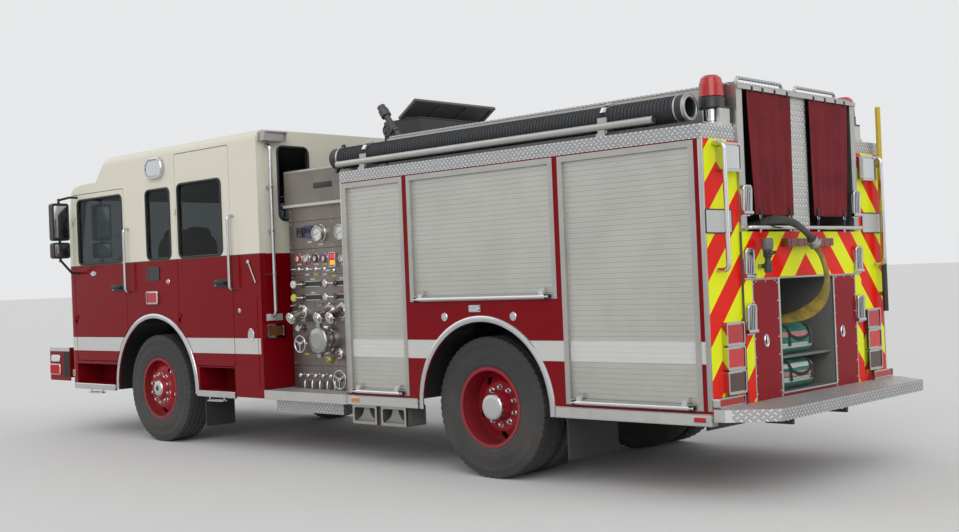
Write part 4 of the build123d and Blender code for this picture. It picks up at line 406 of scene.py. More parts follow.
def cabPaint():  # cream over red with the white stripe, grey trim inside
    finish = paintFinish("cabPaint")
    belt = vehicle["beltZ"]
    line = finish.inside(y=(1.15, 2.0), z=(belt - 0.006, belt + 0.003))
    grips = finish.inside(y=(1.2275, outside), z=(1.543, 1.577))
    inner = finish.inside(x=(0.59, 4.02), y=(0.0, 1.168), z=(0.862, 2.885))
    wells = finish.inside(x=(1.62, 3.05), y=(0.0, 1.205), z=(0.0, 1.25))
    color = finish.mix(stripeMask(finish, 0.565), paints["red"], paints["stripe"])
    return gloss(finish, finish.over(
        color, (finish.axis("Z") > belt, paints["cream"]), (line, paints["goldLine"]),
        (grips, paints["black"]), (inner, paints["cabTrim"]), (wells, paints["wheelWell"])))


def bumperPaint():  # red behind, black rubber corner ahead of the cab, bright top edge, lamp lenses
    finish = paintFinish("bumperPaint")
    back = vehicle["bumperRearX"]
    rubber = finish.inside(x=(back, back + 0.133), y=(1.15, 1.4), z=(0.60, 0.872))
    bright = finish.inside(z=(0.884, 0.94))
    white = finish.inside(x=(back + 0.21, back + 0.385), y=(1.2145, outside), z=(0.776, 0.832))
    lens = finish.inside(x=(back + 0.205, back + 0.415), y=(1.2145, outside), z=(0.630, 0.732))
    rims = finish.inside(x=(back + 0.19, back + 0.43), y=(1.2005, outside), z=(0.615, 0.845))
    finish.paint(Metallic=bright.most(rims * (1.0 - white) * (1.0 - lens)))
    color = finish.mix(rubber, paints["red"], paints["black"])
    return gloss(finish, finish.over(
        color, (bright, (0.62, 0.62, 0.61)), (rims, paints["bright"]), (white, (0.7, 0.71, 0.7)),
        (lens, (0.5, 0.006, 0.008))))


def rearPaint():  # chevrons on the band, plain red panels beside the grey centre locker
    finish = paintFinish("rearPaint")
    behind = rearMask(finish)
    panelHalf, panelTop = 0.735, 1.43
    panel = finish.inside(y=(0.0, panelHalf), z=(0.0, panelTop))
    inner = finish.inside(x=(-4.2345, -3.3), y=(0.0, 0.40), z=(0.0, 1.435))
    upright = finish.inside(y=(0.386, 0.402), z=(0.0, panelTop))
    edge = upright.most(finish.inside(y=(0.0, panelHalf), z=(1.423, 1.433)))
    color = finish.mix(panel, chevronColor(finish), (0.26, 0.003, 0.011))
    color = finish.mix(behind, (0.10, 0.10, 0.10), color)
    return gloss(finish, finish.over(
        color, (inner * (1.0 - behind), (0.17, 0.17, 0.165)), (edge * behind, (0.45, 0.44, 0.42))))


def wheelPaint():  # red steel painted darker towards the rim flange as a painted shadow, a paler lip as a painted highlight, chrome cap with a green centre at the front
    finish = paintFinish("wheelPaint")
    front = finish.axis("X") > 0.0
    x = finish.axis("X") - finish.pick(front, vehicle["rearAxleX"], vehicle["frontAxleX"])
    z = finish.axis("Z") - vehicle["axleZ"]
    radius = (x * x + z * z).power(0.5)
    outer = finish.across() > finish.pick(front, 1.145, 1.16)
    cap = (radius < finish.pick(front, 0.101, 0.0775)) * outer
    green = (radius < 0.026) * outer * front
    # painted highlight: the outer lip of the rim is painted a paler red
    lip = (radius > 0.284) * (finish.across() > 1.165)
    finish.paint(Metallic=cap * (1.0 - green))
    # painted shadow: the red darkens from the disc out to the rim flange
    color = finish.mix(radius.ramp(0.20, 0.29), (0.34, 0.004, 0.016), (0.20, 0.003, 0.010))
    color = finish.over(
        color, (lip, (0.30, 0.03, 0.04)), (cap, (0.62, 0.62, 0.62)), (green, (0.01, 0.07, 0.04)))
    return gloss(finish, color, 0.3)


def metal(name, color, rough, brushed=(6.0, 6.0, 6.0), depth=0.02, dirt=0.25, metallic=1.0):
    finish = Finish(name, Metallic=metallic)
    grain = finish.noise(40.0, 4.0, 0.7, finish.stretched(*brushed))
    patches = finish.noise(4.0, 4.0)
    return finish.paint(Base_Color=dusty(finish, finish.mottled(patches, color, 0.5), dirt),
                        Roughness=grain * 0.14 + patches * 0.08 + rough,
                        Normal=finish.bump(grain, depth, 0.001))


def pumpPanel():  # brushed stainless with dark seams between its sheets, and a ledge painted brighter as a painted highlight
    finish = Finish("pumpPanel", Metallic=1.0)
    grain = finish.noise(30.0, 5.0, 0.7, finish.stretched(1.2, 1.2, 34.0))
    patches = finish.noise(2.2, 5.0)
    seams = [abs(finish.axis("Z") - height) < 0.0022 for height in (2.085, 1.835, 1.60, 1.19, 0.79)]
    seams += [(abs(finish.axis("X") - onPanel(setback)) < 0.002) * finish.inside(z=(0.79, 1.60))
              for setback in (0.325, 0.845)]
    seam = reduce(Link.most, seams)
    # painted highlight: the ledge is the same stainless as the panel, painted paler where it catches the
    # light
    ledgeHighlight = finish.inside(y=(0.995, 1.2), z=(2.205, 2.24))
    tone = finish.mix(patches.ramp(0.3, 0.75), (0.25, 0.222, 0.20), (0.18, 0.160, 0.145))
    seamShown = seam * finish.faces("Y")
    color = finish.over(tone, (seamShown, (0.03, 0.028, 0.026)), (ledgeHighlight, (0.56, 0.54, 0.51)))
    return finish.paint(Base_Color=dusty(finish, color, 0.3), Roughness=grain * 0.16 + patches * 0.08 + 0.24,
                        Normal=finish.bump(grain * 0.3 - seam, 0.25, 0.0015))


treadPitch = 48.0  # lozenges to a metre along each face


def treadplate():  # bright plate with raised lozenges, laid out in the plane that each face lies in
    finish = Finish("treadplate", Metallic=1.0)
    x, y, z = finish.axis("X"), finish.axis("Y"), finish.axis("Z")
    top, end = finish.faces("Z"), finish.faces("X")
    u = finish.pick(top, finish.pick(end, x, y), x)
    v = finish.pick(top, z, y)
    p, q = (u + v) * (treadPitch / 2), (u - v) * (treadPitch / 2)
    parity = ((p.whole() + q.whole()) * 0.5).part() * 2.0
    fp, fq = abs(p.part() - 0.5), abs(q.part() - 0.5)
    longSide, shortSide = finish.pick(parity, fp, fq), finish.pick(parity, fq, fp)
    away = ((longSide / 0.46).power(2.0) + (shortSide / 0.17).power(2.0)).power(0.5)
    boardSide = finish.inside(y=(1.235, outside), z=(0.3, 0.70)) * finish.faces("Y")
    raised = (1.0 - away.ramp(0.55, 1.0)) * (1.0 - boardSide)
    wear = finish.noise(7.0, 5.0)
    color = finish.mix(raised, (0.38, 0.38, 0.385), (0.84, 0.84, 0.84))
    worn = wear.ramp(0.5, 0.8) * 0.3
    color = finish.over(color, (boardSide, (0.60, 0.595, 0.575)), (worn, (0.26, 0.245, 0.225)))
    return finish.paint(Base_Color=dusty(finish, color, 0.25), Roughness=0.40 - raised * 0.16 + wear * 0.12,
                        Normal=finish.bump(raised, 0.9, 0.0022))


def rubber(name, color=(0.016, 0.016, 0.017), rough=0.6, dirt=0.3):
    finish = Finish(name)
    fine = finish.noise(260.0, 3.0)
    patches = finish.noise(6.0, 5.0)
    dirty = finish.mix(dust(finish, dirt), finish.mottled(patches, color, 0.5, 1.7), (0.11, 0.10, 0.09))
    return finish.paint(Base_Color=dirty, Roughness=patches * 0.16 + rough,
                        Normal=finish.bump(fine, 0.35, 0.0006))


def glassPane():
    finish = Finish("tintedGlass", Transmission_Weight=1.0, IOR=1.2)
    return finish.paint(Base_Color=(0.21, 0.235, 0.24), Roughness=finish.noise(5.0, 5.0) * 0.04 + 0.01)


def shutterMetal():  # satin slats with the pale stripe across them, chrome lift bars
    finish = Finish("shutterMetal", Metallic=0.8)
    grain = finish.noise(60.0, 4.0, 0.7, finish.stretched(0.6, 0.6, 14.0))
    band = finish.inside(z=vehicle["stripeZ"], y=(1.20, 1.2525))
    bars = finish.inside(y=(1.2535, outside))
    tone = finish.mix(finish.noise(2.4, 4.0).ramp(0.3, 0.75), (0.54, 0.532, 0.50), (0.49, 0.482, 0.452))
    color = finish.over(tone, (band, (0.62, 0.62, 0.60)), (bars, (0.66, 0.66, 0.66)))
    rough = grain * 0.12 + 0.36 - bars * 0.22
    return finish.paint(Base_Color=dusty(finish, color, 0.2), Metallic=0.8 - band * 0.8, Roughness=rough,
                        Normal=finish.bump(grain, 0.05, 0.001))


def plastic(name, color, rough=0.4, grain=0.2, scale=420.0):
    finish = Finish(name)
    patches = finish.noise(8.0, 4.0)
    return finish.paint(Base_Color=finish.mottled(patches, color, 0.5), Roughness=patches * 0.12 + rough,
                        Normal=finish.bump(finish.cells(scale), grain, 0.0006))


def layered(name, base, zones, rough=0.1, coat=0.3):
    # A bright metal base and zones of other stuff on it: each zone is (mask, colour, metallic, roughness)
    finish = Finish(name, Metallic=1.0, Coat_Weight=coat, Coat_Roughness=0.05)
    grain = finish.noise(50.0, 4.0)
    color = finish.mottled(finish.noise(5.0, 4.0), base, 0.4)
    shine, dull = 1.0, rough
    for makeMask, tone, metallic, roughness in zones:
        mask = makeMask(finish)
        color = finish.mix(mask, color, tone)
        shine = finish.pick(mask, shine, metallic)
        dull = finish.pick(mask, dull, roughness)
    ribs = (finish.axis("Z") * 500.0).wave() * (finish.axis("Y") * 500.0 + finish.axis("X") * 500.0).wave()
    height = ribs * (1.0 - shine) * 0.7 + grain * 0.2
    return finish.paint(Base_Color=dusty(finish, color, 0.2), Metallic=shine, Roughness=grain * 0.1 + dull,
                        Normal=finish.bump(height, 0.12, 0.001))


lamps = {
    "red": (0.46, 0.006, 0.008),
    "stop": (0.62, 0.01, 0.01),
    "amber": (0.55, 0.20, 0.01),
    "marker": (0.75, 0.32, 0.02),
    "dark": (0.07, 0.02, 0.012),
    "clear": (0.60, 0.62, 0.64),
    "black": (0.018, 0.018, 0.019),
}


def box(x=None, y=None, z=None):
    return lambda finish: finish.inside(x, y, z)


def disc(x, z, radius, hole=0.0):
    return lambda finish: finish.disc(x, z, radius, hole)


def cabLampFinish():
    face = (1.2305, outside)
    zones = [(box((2.056, 2.324), face, (2.65, 2.82)), lamps["clear"], 0.1, 0.15),
             (box((2.232, 2.408), face, (1.397, 1.493)), lamps["red"], 0.0, 0.1),
             (box((3.94, 3.98), (1.224, outside), (0.627, 0.679)), lamps["amber"], 0.0, 0.15),
             (box((2.19, 2.42), (1.21, outside), (1.615, 1.755)), (0.03, 0.03, 0.032), 0.4, 0.4),  # vent
             (disc(2.035, 1.60, 0.021), lamps["marker"], 0.0, 0.15),
             (box((4.0, 4.2), (0.58, 0.98), (1.03, 1.39)), (0.55, 0.56, 0.58), 0.9, 0.12),  # headlamps
             (box((0.50, 0.53), (0.998, 1.162), (1.063, 1.152)), (0.16, 0.05, 0.02), 0.0, 0.15),
             (box((0.44, 0.54), (0.9, 1.23), (2.82, 2.93)), (0.30, 0.29, 0.28), 0.6, 0.3)]
    return layered("cabLamps", paints["bright"], zones)


def lightBarFinish():
    lens = (2.75, 2.84)
    zones = [(box(z=lens), lamps["red"], 0.0, 0.1),
             (box(y=(0.0, 0.22), z=lens), lamps["clear"], 0.0, 0.12),
             (box(z=(2.68, 2.75)), lamps["black"], 0.2, 0.4)]
    return layered("lightBarLens", (0.5, 0.5, 0.51), zones)


def rearLampFinish():
    def behind(far, near):
        return vehicle["bodyRearX"] - far, vehicle["bodyRearX"] - near

    beacon = {"x": behind(0.0, -0.25), "y": (0.83, 1.03)}
    cluster = ((1.023, "red", 0.12), (0.866, "stop", 0.1), (0.709, "dark", 0.12))
    zones = [(box(behind(0.04, 0.015), (0.903, 1.087), (low, low + 0.119)), lamps[tone], 0.0, rough)
             for low, tone, rough in cluster]
    zones += [(box(behind(0.05, 0.02), (0.942, 1.233), (0.63, 0.672)), lamps["red"], 0.0, 0.12),
              (box(behind(0.06, 0.02), (0.889, 1.067), (2.161, 2.309)), lamps["clear"], 0.0, 0.2),  # floods
              (box(behind(0.01, -0.01), (0.93, 1.24), (1.74, 1.895)), (0.55, 0.56, 0.56), 0.0, 0.35),
              (box(behind(0.08, 0.02), (0.0, 0.34), (1.64, 1.705)), (0.16, 0.012, 0.01), 0.0, 0.2),
              (box(**beacon, z=(2.563, 2.65)), lamps["black"], 0.1, 0.35),
              (box(**beacon, z=(2.652, 2.81)), lamps["red"], 0.0, 0.1)]
    return layered("rearLamps", (0.58, 0.57, 0.56), zones)


def panelFittings():  # chrome with the coloured knobs, black slots and the brass cap
    y = vehicle["panelY"]
    slots = [((onPanel(rear), onPanel(front)), (y + 0.002, y + 0.0085), (low, low + 0.04))
             for front, rear in ((0.18, 0.44), (0.61, 0.81)) for low in (1.50, 1.38)]
    zones = [(box(*slot), lamps["black"], 0.0, 0.5) for slot in slots]
    zones += [(disc(onPanel(0.11), 1.52, 0.04, 0.017), (0.66, 0.64, 0.62), 0.0, 0.3),
              (disc(onPanel(0.11), 1.40, 0.04, 0.017), (0.60, 0.50, 0.02), 0.0, 0.3),
              (box((onPanel(0.70), onPanel(0.58)), (y + 0.085, outside), (0.79, 0.93)),
               (0.30, 0.29, 0.07), 0.6, 0.3),
              (box((onPanel(0.62), onPanel(0.34)), (y + 0.055, outside), (0.87, 1.17)),
               (0.36, 0.355, 0.35), 0.9, 0.32)]
    return layered("panelFittings", (0.55, 0.53, 0.53), zones, 0.08)


def gaugeFinish():  # chrome bezels, red rings, dark screens and the lit block
    y = vehicle["panelY"]
    rings = ((0.130, 1.752, (0.42, 0.02, 0.02)), (0.490, 1.742, (0.20, 0.05, 0.16)),
             (0.370, 1.746, (0.10, 0.02, 0.03)))
    zones = [(disc(onPanel(setback), z, 0.040, 0.024), tone, 0.0, 0.3) for setback, z, tone in rings]
    zones += [(box((onPanel(0.212), onPanel(0.128)), z=(1.938, 2.032)), (0.03, 0.032, 0.04), 0.2, 0.35),
              (box((onPanel(0.347), onPanel(0.233)), z=(1.928, 2.042)), (0.02, 0.045, 0.13), 0.1, 0.25),
              (box((onPanel(0.652), onPanel(0.578)), (y, y + 0.021), (1.67, 1.786)),
               (0.03, 0.02, 0.02), 0.1, 0.3)]
    return layered("gaugeMetal", (0.56, 0.55, 0.54), zones, 0.1)


def toolFinish():  # cast holders and chocks, dark nozzle, yellow over black pole
    back = vehicle["bodyRearX"]
    pole = {"x": (back - 0.08, back - 0.02), "y": (1.165, 1.2145)}
    nozzle = {"x": (back - 0.20, back - 0.05), "y": (0.59, 0.69)}
    zones = [(box(**pole, z=(1.0, 2.8)), paints["black"], 0.0, 0.4),
             (box(**pole, z=(1.5, 2.8)), (0.56, 0.40, 0.02), 0.0, 0.35),
             (box(**nozzle, z=(1.4, 1.62)), (0.05, 0.05, 0.052), 0.3, 0.4),
             (box(**nozzle, z=(1.62, 1.72)), (0.14, 0.14, 0.14), 0.2, 0.45),
             (box((-1.5, -0.6), (1.03, 1.2185), (0.352, 0.50)), (0.30, 0.29, 0.27), 0.7, 0.5)]
    return layered("stowedTools", (0.42, 0.41, 0.39), zones, 0.32, 0.0)


def glowing(name, color, strength):
    finish = Finish(name, Emission_Strength=strength)
    spots = finish.noise(40.0, 2.0)
    tone = finish.mix(spots, color, shaded(color, 0.5))
    return finish.paint(Base_Color=tone, Emission_Color=tone, Roughness=spots * 0.1 + 0.15)


def weave(name, color, pitch=900.0, rough=0.8, contrast=0.35, stripes=(), sheen=0.15):
    finish = Finish(name, Sheen_Weight=sheen, Sheen_Roughness=0.5, Specular_IOR_Level=0.2)
    threads = ((finish.axis("X") + finish.axis("Y")) * pitch).wave() * (finish.axis("Z") * pitch).wave()
    patches = finish.noise(5.0, 5.0)
    tone = finish.mix(patches.ramp(0.3, 0.75) * 0.7, color, shaded(color, 1 - contrast))
    tone = finish.over(tone, *((finish.inside(z=(low, high)), band) for low, high, band in stripes))
    return finish.paint(Base_Color=tone, Roughness=patches * 0.1 + rough,
                        Normal=finish.bump(threads, 0.35, 0.0008))


def hoseCloth():  # woven jacket: dark above the coupling, olive brown below it, each varied in random patches
    finish = Finish("hoseJacket", Sheen_Weight=0.08, Sheen_Roughness=0.5)
    x, y, z = finish.axis("X"), finish.axis("Y"), finish.axis("Z")
    threads = ((x + y) * 700.0).wave() * (z * 900.0).wave()
    patches = finish.noise(9.0, 5.0)
    olive = finish.mix(patches.ramp(0.3, 0.75), (0.34, 0.235, 0.024), (0.085, 0.065, 0.014))
    dark = finish.mix(patches.ramp(0.3, 0.75), (0.045, 0.046, 0.036), (0.022, 0.023, 0.020))
    color = finish.mix((y > 0.235) * (z > 1.6), olive, dark)
    return finish.paint(Base_Color=color, Roughness=patches * 0.15 + 0.66,
                        Normal=finish.bump(threads, 0.4, 0.0008))


print("making the finishes")
bagTones = {"green": (0.015, 0.20, 0.13), "pale": (0.50, 0.52, 0.50), "pink": (0.50, 0.22, 0.21)}
bagStripes = [(low, high, bagTones[tone]) for low, high, tone in (
    (0.69, 0.725, "pale"), (0.735, 0.765, "pink"), (0.79, 0.82, "pale"),
    (0.93, 0.965, "pale"), (0.975, 1.005, "green"), (1.01, 1.045, "pink"))]
finishes = {
    "locker": lockerPaint(),
    "cab": cabPaint(),
    "rear": rearPaint(),
    "bumper": bumperPaint(),
    "wheel": wheelPaint(),
    "chassis": metal("chassisPaint", paints["wheelWell"], 0.42, depth=0.1, dirt=0.5, metallic=0.0),
    "chrome": metal("chrome", (0.60, 0.60, 0.61), 0.06, depth=0.01, dirt=0.08),
    "panel": pumpPanel(),
    "aluminium": metal("satinAluminium", (0.46, 0.455, 0.43), 0.3, brushed=(0.5, 8.0, 8.0), depth=0.05),
    "cast": metal("castAluminium", (0.40, 0.39, 0.37), 0.45, depth=0.25),
    "darkMetal": metal("darkMetal", (0.10, 0.10, 0.105), 0.35, depth=0.05),
    "treadplate": treadplate(),
    "tyre": rubber("tyreRubber", (0.022, 0.022, 0.023), dirt=0.55),
    "rubber": rubber("moulding", rough=0.5),
    "hoseRubber": rubber("suctionRubber", (0.018, 0.021, 0.025), 0.42, dirt=0.0),
    "glass": glassPane(),
    "mirror": metal("mirrorGlass", (0.5, 0.52, 0.53), 0.02, depth=0.0, dirt=0.0),
    "shutter": shutterMetal(),
    "black": plastic("blackPlastic", lamps["black"]),
    "lidGrey": plastic("lidUnderside", (0.12, 0.11, 0.115), 0.6),
    "dial": plastic("dialWhite", (0.70, 0.69, 0.66), 0.35, 0.02),
    "ink": plastic("dialInk", (0.012, 0.012, 0.012), 0.5, 0.02),
    "plate": plastic("blankPlate", (0.50, 0.51, 0.52), 0.4, 0.05),
    "engine": metal("castIron", (0.10, 0.10, 0.105), 0.5, depth=0.3, dirt=0.5, metallic=0.5),
    "cabLamps": cabLampFinish(),
    "lightBar": lightBarFinish(),
    "rearLamps": rearLampFinish(),
    "fittings": panelFittings(),
    "gauges": gaugeFinish(),
    "glowRed": glowing("litRed", (0.9, 0.03, 0.04), 1.2),
    "glowAmber": glowing("litAmber", (0.95, 0.35, 0.02), 1.4),
    "redLens": plastic("redReflector", (0.46, 0.008, 0.008), 0.15, 0.3, 160.0),
    "amberLens": plastic("amberLens", (0.62, 0.22, 0.01), 0.15, 0.3, 160.0),
    "seat": weave("seatCloth", (0.028, 0.028, 0.032)),
    "curtain": weave("curtainCloth", (0.18, 0.010, 0.016), 420.0, 0.7, 0.45, sheen=0.02),
    "hose": hoseCloth(),
    "bag": weave("bagCloth", bagTones["green"], 700.0, stripes=bagStripes),
    "strap": weave("strapWebbing", (0.016, 0.016, 0.017), 1100.0, 0.7),
    "tools": toolFinish(),
    "poleYellow": plastic("poleYellow", (0.58, 0.40, 0.02), 0.35),
}
wornBy = {  # finish: the nodes that wear it, with * for left and right
    "cab": "cab_shell front_door_* crew_door_*",
    "glass": "cab_windows front_door_glass_* crew_door_glass_*",
    "black": "cab_interior steering_wheel roof_box water_tank mirror_*",
    "seat": "crew_seats",
    "chrome": "front_grille cab_rails rails_and_steps",
    "cabLamps": "cab_lamps",
    "lightBar": "light_bar",
    "darkMetal": "deck_gun",
    "lidGrey": "roof_box_lid",
    "chassis": "chassis_frame axles steering_knuckle_*",
    "engine": "drivetrain",
    "bumper": "front_bumper",
    "panel": "pump_module",
    "gauges": "pump_gauges",
    "fittings": "pump_fittings",
    "treadplate": "running_boards tailboard treadplate_caps hosebed_lid_*",
    "rubber": "mud_flaps",
    "rearLamps": "rear_lamps",
    "hoseRubber": "suction_hose",
    "aluminium": "suction_rack hose_couplings shutter_frames hosebed",
    "tools": "stowed_tools",
    "bag": "equipment_bags",
    "hose": "attack_hose",
    "locker": "side_lockers",
    "shutter": "roll_shutters",
    "rear": "rear_body",
    "curtain": "hosebed_curtains",
    "tyre": "tyre_front_* tyres_rear_*",
    "wheel": "rim_front_* rims_rear_*",
}


def dress(piece, material):
    piece.data.materials.clear()
    piece.data.materials.append(material)


for finishName, names in wornBy.items():
    for name in names.split():
        for sideName in ("left", "right") if "*" in name else ("",):
            dress(nodes[name.replace("*", sideName)], finishes[finishName])


# Mesh helpers
def addPiece(name, mesh, finishName, body="root", sharp=38.0):
    piece = bpy.data.objects.new(name, mesh)
    scene.collection.objects.link(piece)
    dress(piece, finishes[finishName])
    mesh.polygons.foreach_set("use_smooth", [True] * len(mesh.polygons))
    mesh.set_sharp_from_angle(angle=math.radians(sharp))
    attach(piece, body)
    return piece


def finishMesh(name, shape):
    bmesh.ops.recalc_face_normals(shape, faces=shape.faces[:])
    mesh = bpy.data.meshes.new(name)
    shape.to_mesh(mesh)
    shape.free()
    return mesh


def bakeModifiers(piece):
    mesh = bpy.data.meshes.new_from_object(piece.evaluated_get(bpy.context.evaluated_depsgraph_get()))
    piece.modifiers.clear()
    piece.data = mesh
    return mesh


def makePiece(name, build, finishName, body="root", sharp=38.0):  # build(shape) adds to an empty shape
    shape = bmesh.new()
    build(shape)
    return addPiece(name, finishMesh(name, shape), finishName, body, sharp)


def bothSides(name, build, finishName, body="root", sharp=38.0):  # build(shape, side): side is 1, then -1
    def buildBoth(shape):
        for side in (1, -1):
            build(shape, side)

    return makePiece(name, buildBoth, finishName, body, sharp)


def skinRings(shape, rings, looped=False):  # faces between closed rings, with the ends capped unless looped
    rows = [[shape.verts.new(point) for point in ring] for ring in rings]
    count = len(rows[0])
    pairs = list(zip(rows, rows[1:]))
    if looped:
        pairs.append((rows[-1], rows[0]))
    for low, high in pairs:
        for step in range(count):
            after = (step + 1) % count
            shape.faces.new((low[step], low[after], high[after], high[step]))
    if not looped:
        shape.faces.new(rows[0])
        shape.faces.new(rows[-1])


def roundAngles(count):
    return [2 * math.pi * step / count for step in range(count)]


def turnPoint(axis, radius, offset, angle):
    c, s = radius * math.cos(angle), radius * math.sin(angle)
    return {"X": (offset, c, s), "Y": (c, offset, s), "Z": (c, s, offset)}[axis]


def addTurned(shape, profile, place, segments):  # a closed outline of (radius, offset), turned round X
    rings = [[Vector(place) + Vector(turnPoint("X", r, o, angle)) for r, o in profile]
             for angle in roundAngles(segments)]
    skinRings(shape, rings, looped=True)


def addBlock(shape, low, high, bevel=0.0, segments=2):
    made = bmesh.ops.create_cube(shape, size=1.0)["verts"]
    center = (Vector(low) + Vector(high)) / 2
    size = Vector(high) - Vector(low)
    for vert in made:
        vert.co = vert.co * size + center
    if bevel:
        edges = list({edge for vert in made for edge in vert.link_edges})
        bmesh.ops.bevel(shape, geom=edges, offset=bevel, segments=segments, affect="EDGES", profile=0.5)


def around(middle, half):
    return middle - half, middle + half


def spanOn(side, low, high):
    return sorted((side * low, side * high))


def addSideBlock(shape, side, x, y, z, bevel):  # spans along each axis, with y counted from the middle
    near, far = spanOn(side, *y)
    addBlock(shape, (x[0], near, z[0]), (x[1], far, z[1]), bevel)


def sideBlocks(name, blocks, finishName, bevel, body="root", sharp=38.0):  # blocks: (x, y, z) spans
    def build(shape, side):
        for x, y, z in blocks:
            addSideBlock(shape, side, x, y, z, bevel)

    return bothSides(name, build, finishName, body, sharp)


def headings(points):  # at each point the direction of the line through its neighbours
    last = len(points) - 1
    for place, point in enumerate(points):
        yield place, point, (points[min(place + 1, last)] - points[max(place - 1, 0)]).normalized()


def addSweep(shape, points, halfWidth, halfThick, across, sides=8):  # an oval section along points
    rings = []
    for place, point, ahead in headings([Vector(p) for p in points]):
        wide = (Vector(across) - ahead * ahead.dot(Vector(across))).normalized()
        out = ahead.cross(wide)
        rings.append([point + wide * (halfWidth * math.cos(angle)) + out * (halfThick * math.sin(angle))
                      for angle in roundAngles(sides)])
    skinRings(shape, rings)


# Attack hose: its route's points, as the model has them, carry one smooth spline
hose = {
    "route": [(-4.055, 0.575, 1.786), (-4.155, 0.572, 1.800), (-4.253, 0.546, 1.822), (-4.337, 0.476, 1.828),
              (-4.391, 0.378, 1.792), (-4.413, 0.262, 1.714), (-4.421, 0.150, 1.612), (-4.422, 0.066, 1.496),
              (-4.411, 0.028, 1.374), (-4.375, 0.048, 1.260), (-4.303, 0.112, 1.180), (-4.197, 0.178, 1.140),
              (-4.085, 0.212, 1.1304)],
    "radius": 0.030,
    "flatHalf": (0.046, 0.012),  # half width and half thickness below the coupling
    "bayFlat": (0.036, 0.015),  # and above it
    "roundReach": 0.085,
    "outward": (-0.86, 0.0, 0.5),
    "sides": 20,
}


def splinePoints(name, route):
    curve = bpy.data.curves.new(name, "CURVE")
    curve.dimensions = "3D"
    curve.resolution_u = 10
    spline = curve.splines.new("NURBS")
    spline.points.add(len(route) - 1)
    for point, place in zip(spline.points, route):
        point.co = (*place, 1.0)
    spline.order_u = 3
    spline.use_endpoint_u = True
    bare = bpy.data.objects.new(name, curve)
    scene.collection.objects.link(bare)
    mesh = bpy.data.meshes.new_from_object(bare)
    points = [vert.co.copy() for vert in mesh.vertices]
    bpy.data.objects.remove(bare)
    return points


def squared(value, power):
    return math.copysign(abs(value) ** power, value)


def makeHose():
    points = splinePoints("attackHoseLine", hose["route"])
    low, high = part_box("hose_couplings")
    coupling = (low + high) / 2
    nearest = min(range(len(points)), key=lambda place: (points[place] - coupling).length)
    rings = []
    for place, point, ahead in headings(points):
        wide = ahead.cross(Vector(hose["outward"])).normalized()
        out = ahead.cross(wide)
        # Round at the coupling, flat away from it
        roundness = max(0.0, 1.0 - ((point - coupling).length / hose["roundReach"]) ** 2)
        flat = hose["flatHalf"] if place > nearest else hose["bayFlat"]
        w, t = (half + (hose["radius"] - half) * roundness for half in flat)
        power = 0.75 + 0.25 * roundness
        ring = [(w * squared(math.cos(angle), power), t * squared(math.sin(angle), power))
                for angle in roundAngles(hose["sides"])]
        rings.append([point + wide * u + out * v for u, v in ring])
    piece = makePiece("attack_hose_jacket", lambda shape: skinRings(shape, rings), "hose")
    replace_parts(piece, "attack_hose")
    length = sum((b - a).length for a, b in zip(points, points[1:]))
    tuple(points[0])
    [tuple(p) for p in points]
    print("attack hose:", round(length, 3), "m")


makeHose()

# Padded pieces swell a little in a cloth simulation, from a slightly smaller shape
swelling = {
    "quality": 4,
    "frames": 20,
    "cuts": 15,
    "seamReach": 0.12,
}


def swollen(mesh, voxel, pressure, cap, subdivide=True):  # no point moves further than cap
    pad = bpy.data.objects.new("swelling", mesh)
    scene.collection.objects.link(pad)
    remesh = pad.modifiers.new("remesh", "REMESH")
    remesh.mode = "VOXEL"
    remesh.voxel_size = voxel
    start = bakeModifiers(pad)
    cloth = pad.modifiers.new("cloth", "CLOTH")
    cloth.settings.quality = swelling["quality"]
    cloth.settings.use_pressure = True
    cloth.settings.uniform_pressure_force = pressure
    cloth.settings.effector_weights.gravity = 0.0
    for frameNumber in range(1, swelling["frames"] + 1):
        scene.frame_set(frameNumber)
    for vert, before in zip(bakeModifiers(pad).vertices, start.vertices):
        move = vert.co - before.co
        if move.length > cap:
            vert.co = before.co + move * (cap / move.length)
    scene.frame_set(1)
    if subdivide:
        pad.modifiers.new("smooth", "SUBSURF").levels = 1
        bakeModifiers(pad)
    made = pad.data
    bpy.data.objects.remove(pad)
    return made


def pillow(size, seams, seamDepth, squareness=4.0):  # a crowned block with sewn channels across it
    shape = bmesh.new()
    bmesh.ops.create_cube(shape, size=2.0)
    bmesh.ops.subdivide_edges(shape, edges=shape.edges[:], cuts=swelling["cuts"], use_grid_fill=True)
    for vert in shape.verts:
        x, y, z = vert.co
        length = (abs(x) ** squareness + abs(y) ** squareness + abs(z) ** squareness) ** (1.0 / squareness)
        pinch = 1.0
        for axisPlace, at in seams:
            away = abs(vert.co[axisPlace] - at)
            if away < swelling["seamReach"]:
                pinch = min(pinch, 1.0 - seamDepth * (1.0 - away / swelling["seamReach"]))
        vert.co = Vector((x * size[0], y * size[1], z * size[2])) / (2 * length)
        vert.co.z *= pinch
        vert.co.x *= 1.0 - (1.0 - pinch) * 0.3
    return finishMesh("pillow", shape)


seats = {
    # Setback, facing, height of the floor and of the seat's top
    "rows": [(1.400, 1, 1.272, 1.45), (2.120, -1, 1.272, 1.45), (3.200, 1, 0.86, 1.29)],
    "halfApart": 0.8,
    "cushion": (0.45, 0.47, 0.13),
    "back": (0.115, 0.47, 0.62),
    "head": (0.10, 0.30, 0.16),
    "voxel": 0.016,
    "backOut": 0.17,
    "lifts": {"cushion": -0.06, "back": 0.33, "headrest": 0.62},  # above the seat's top
}


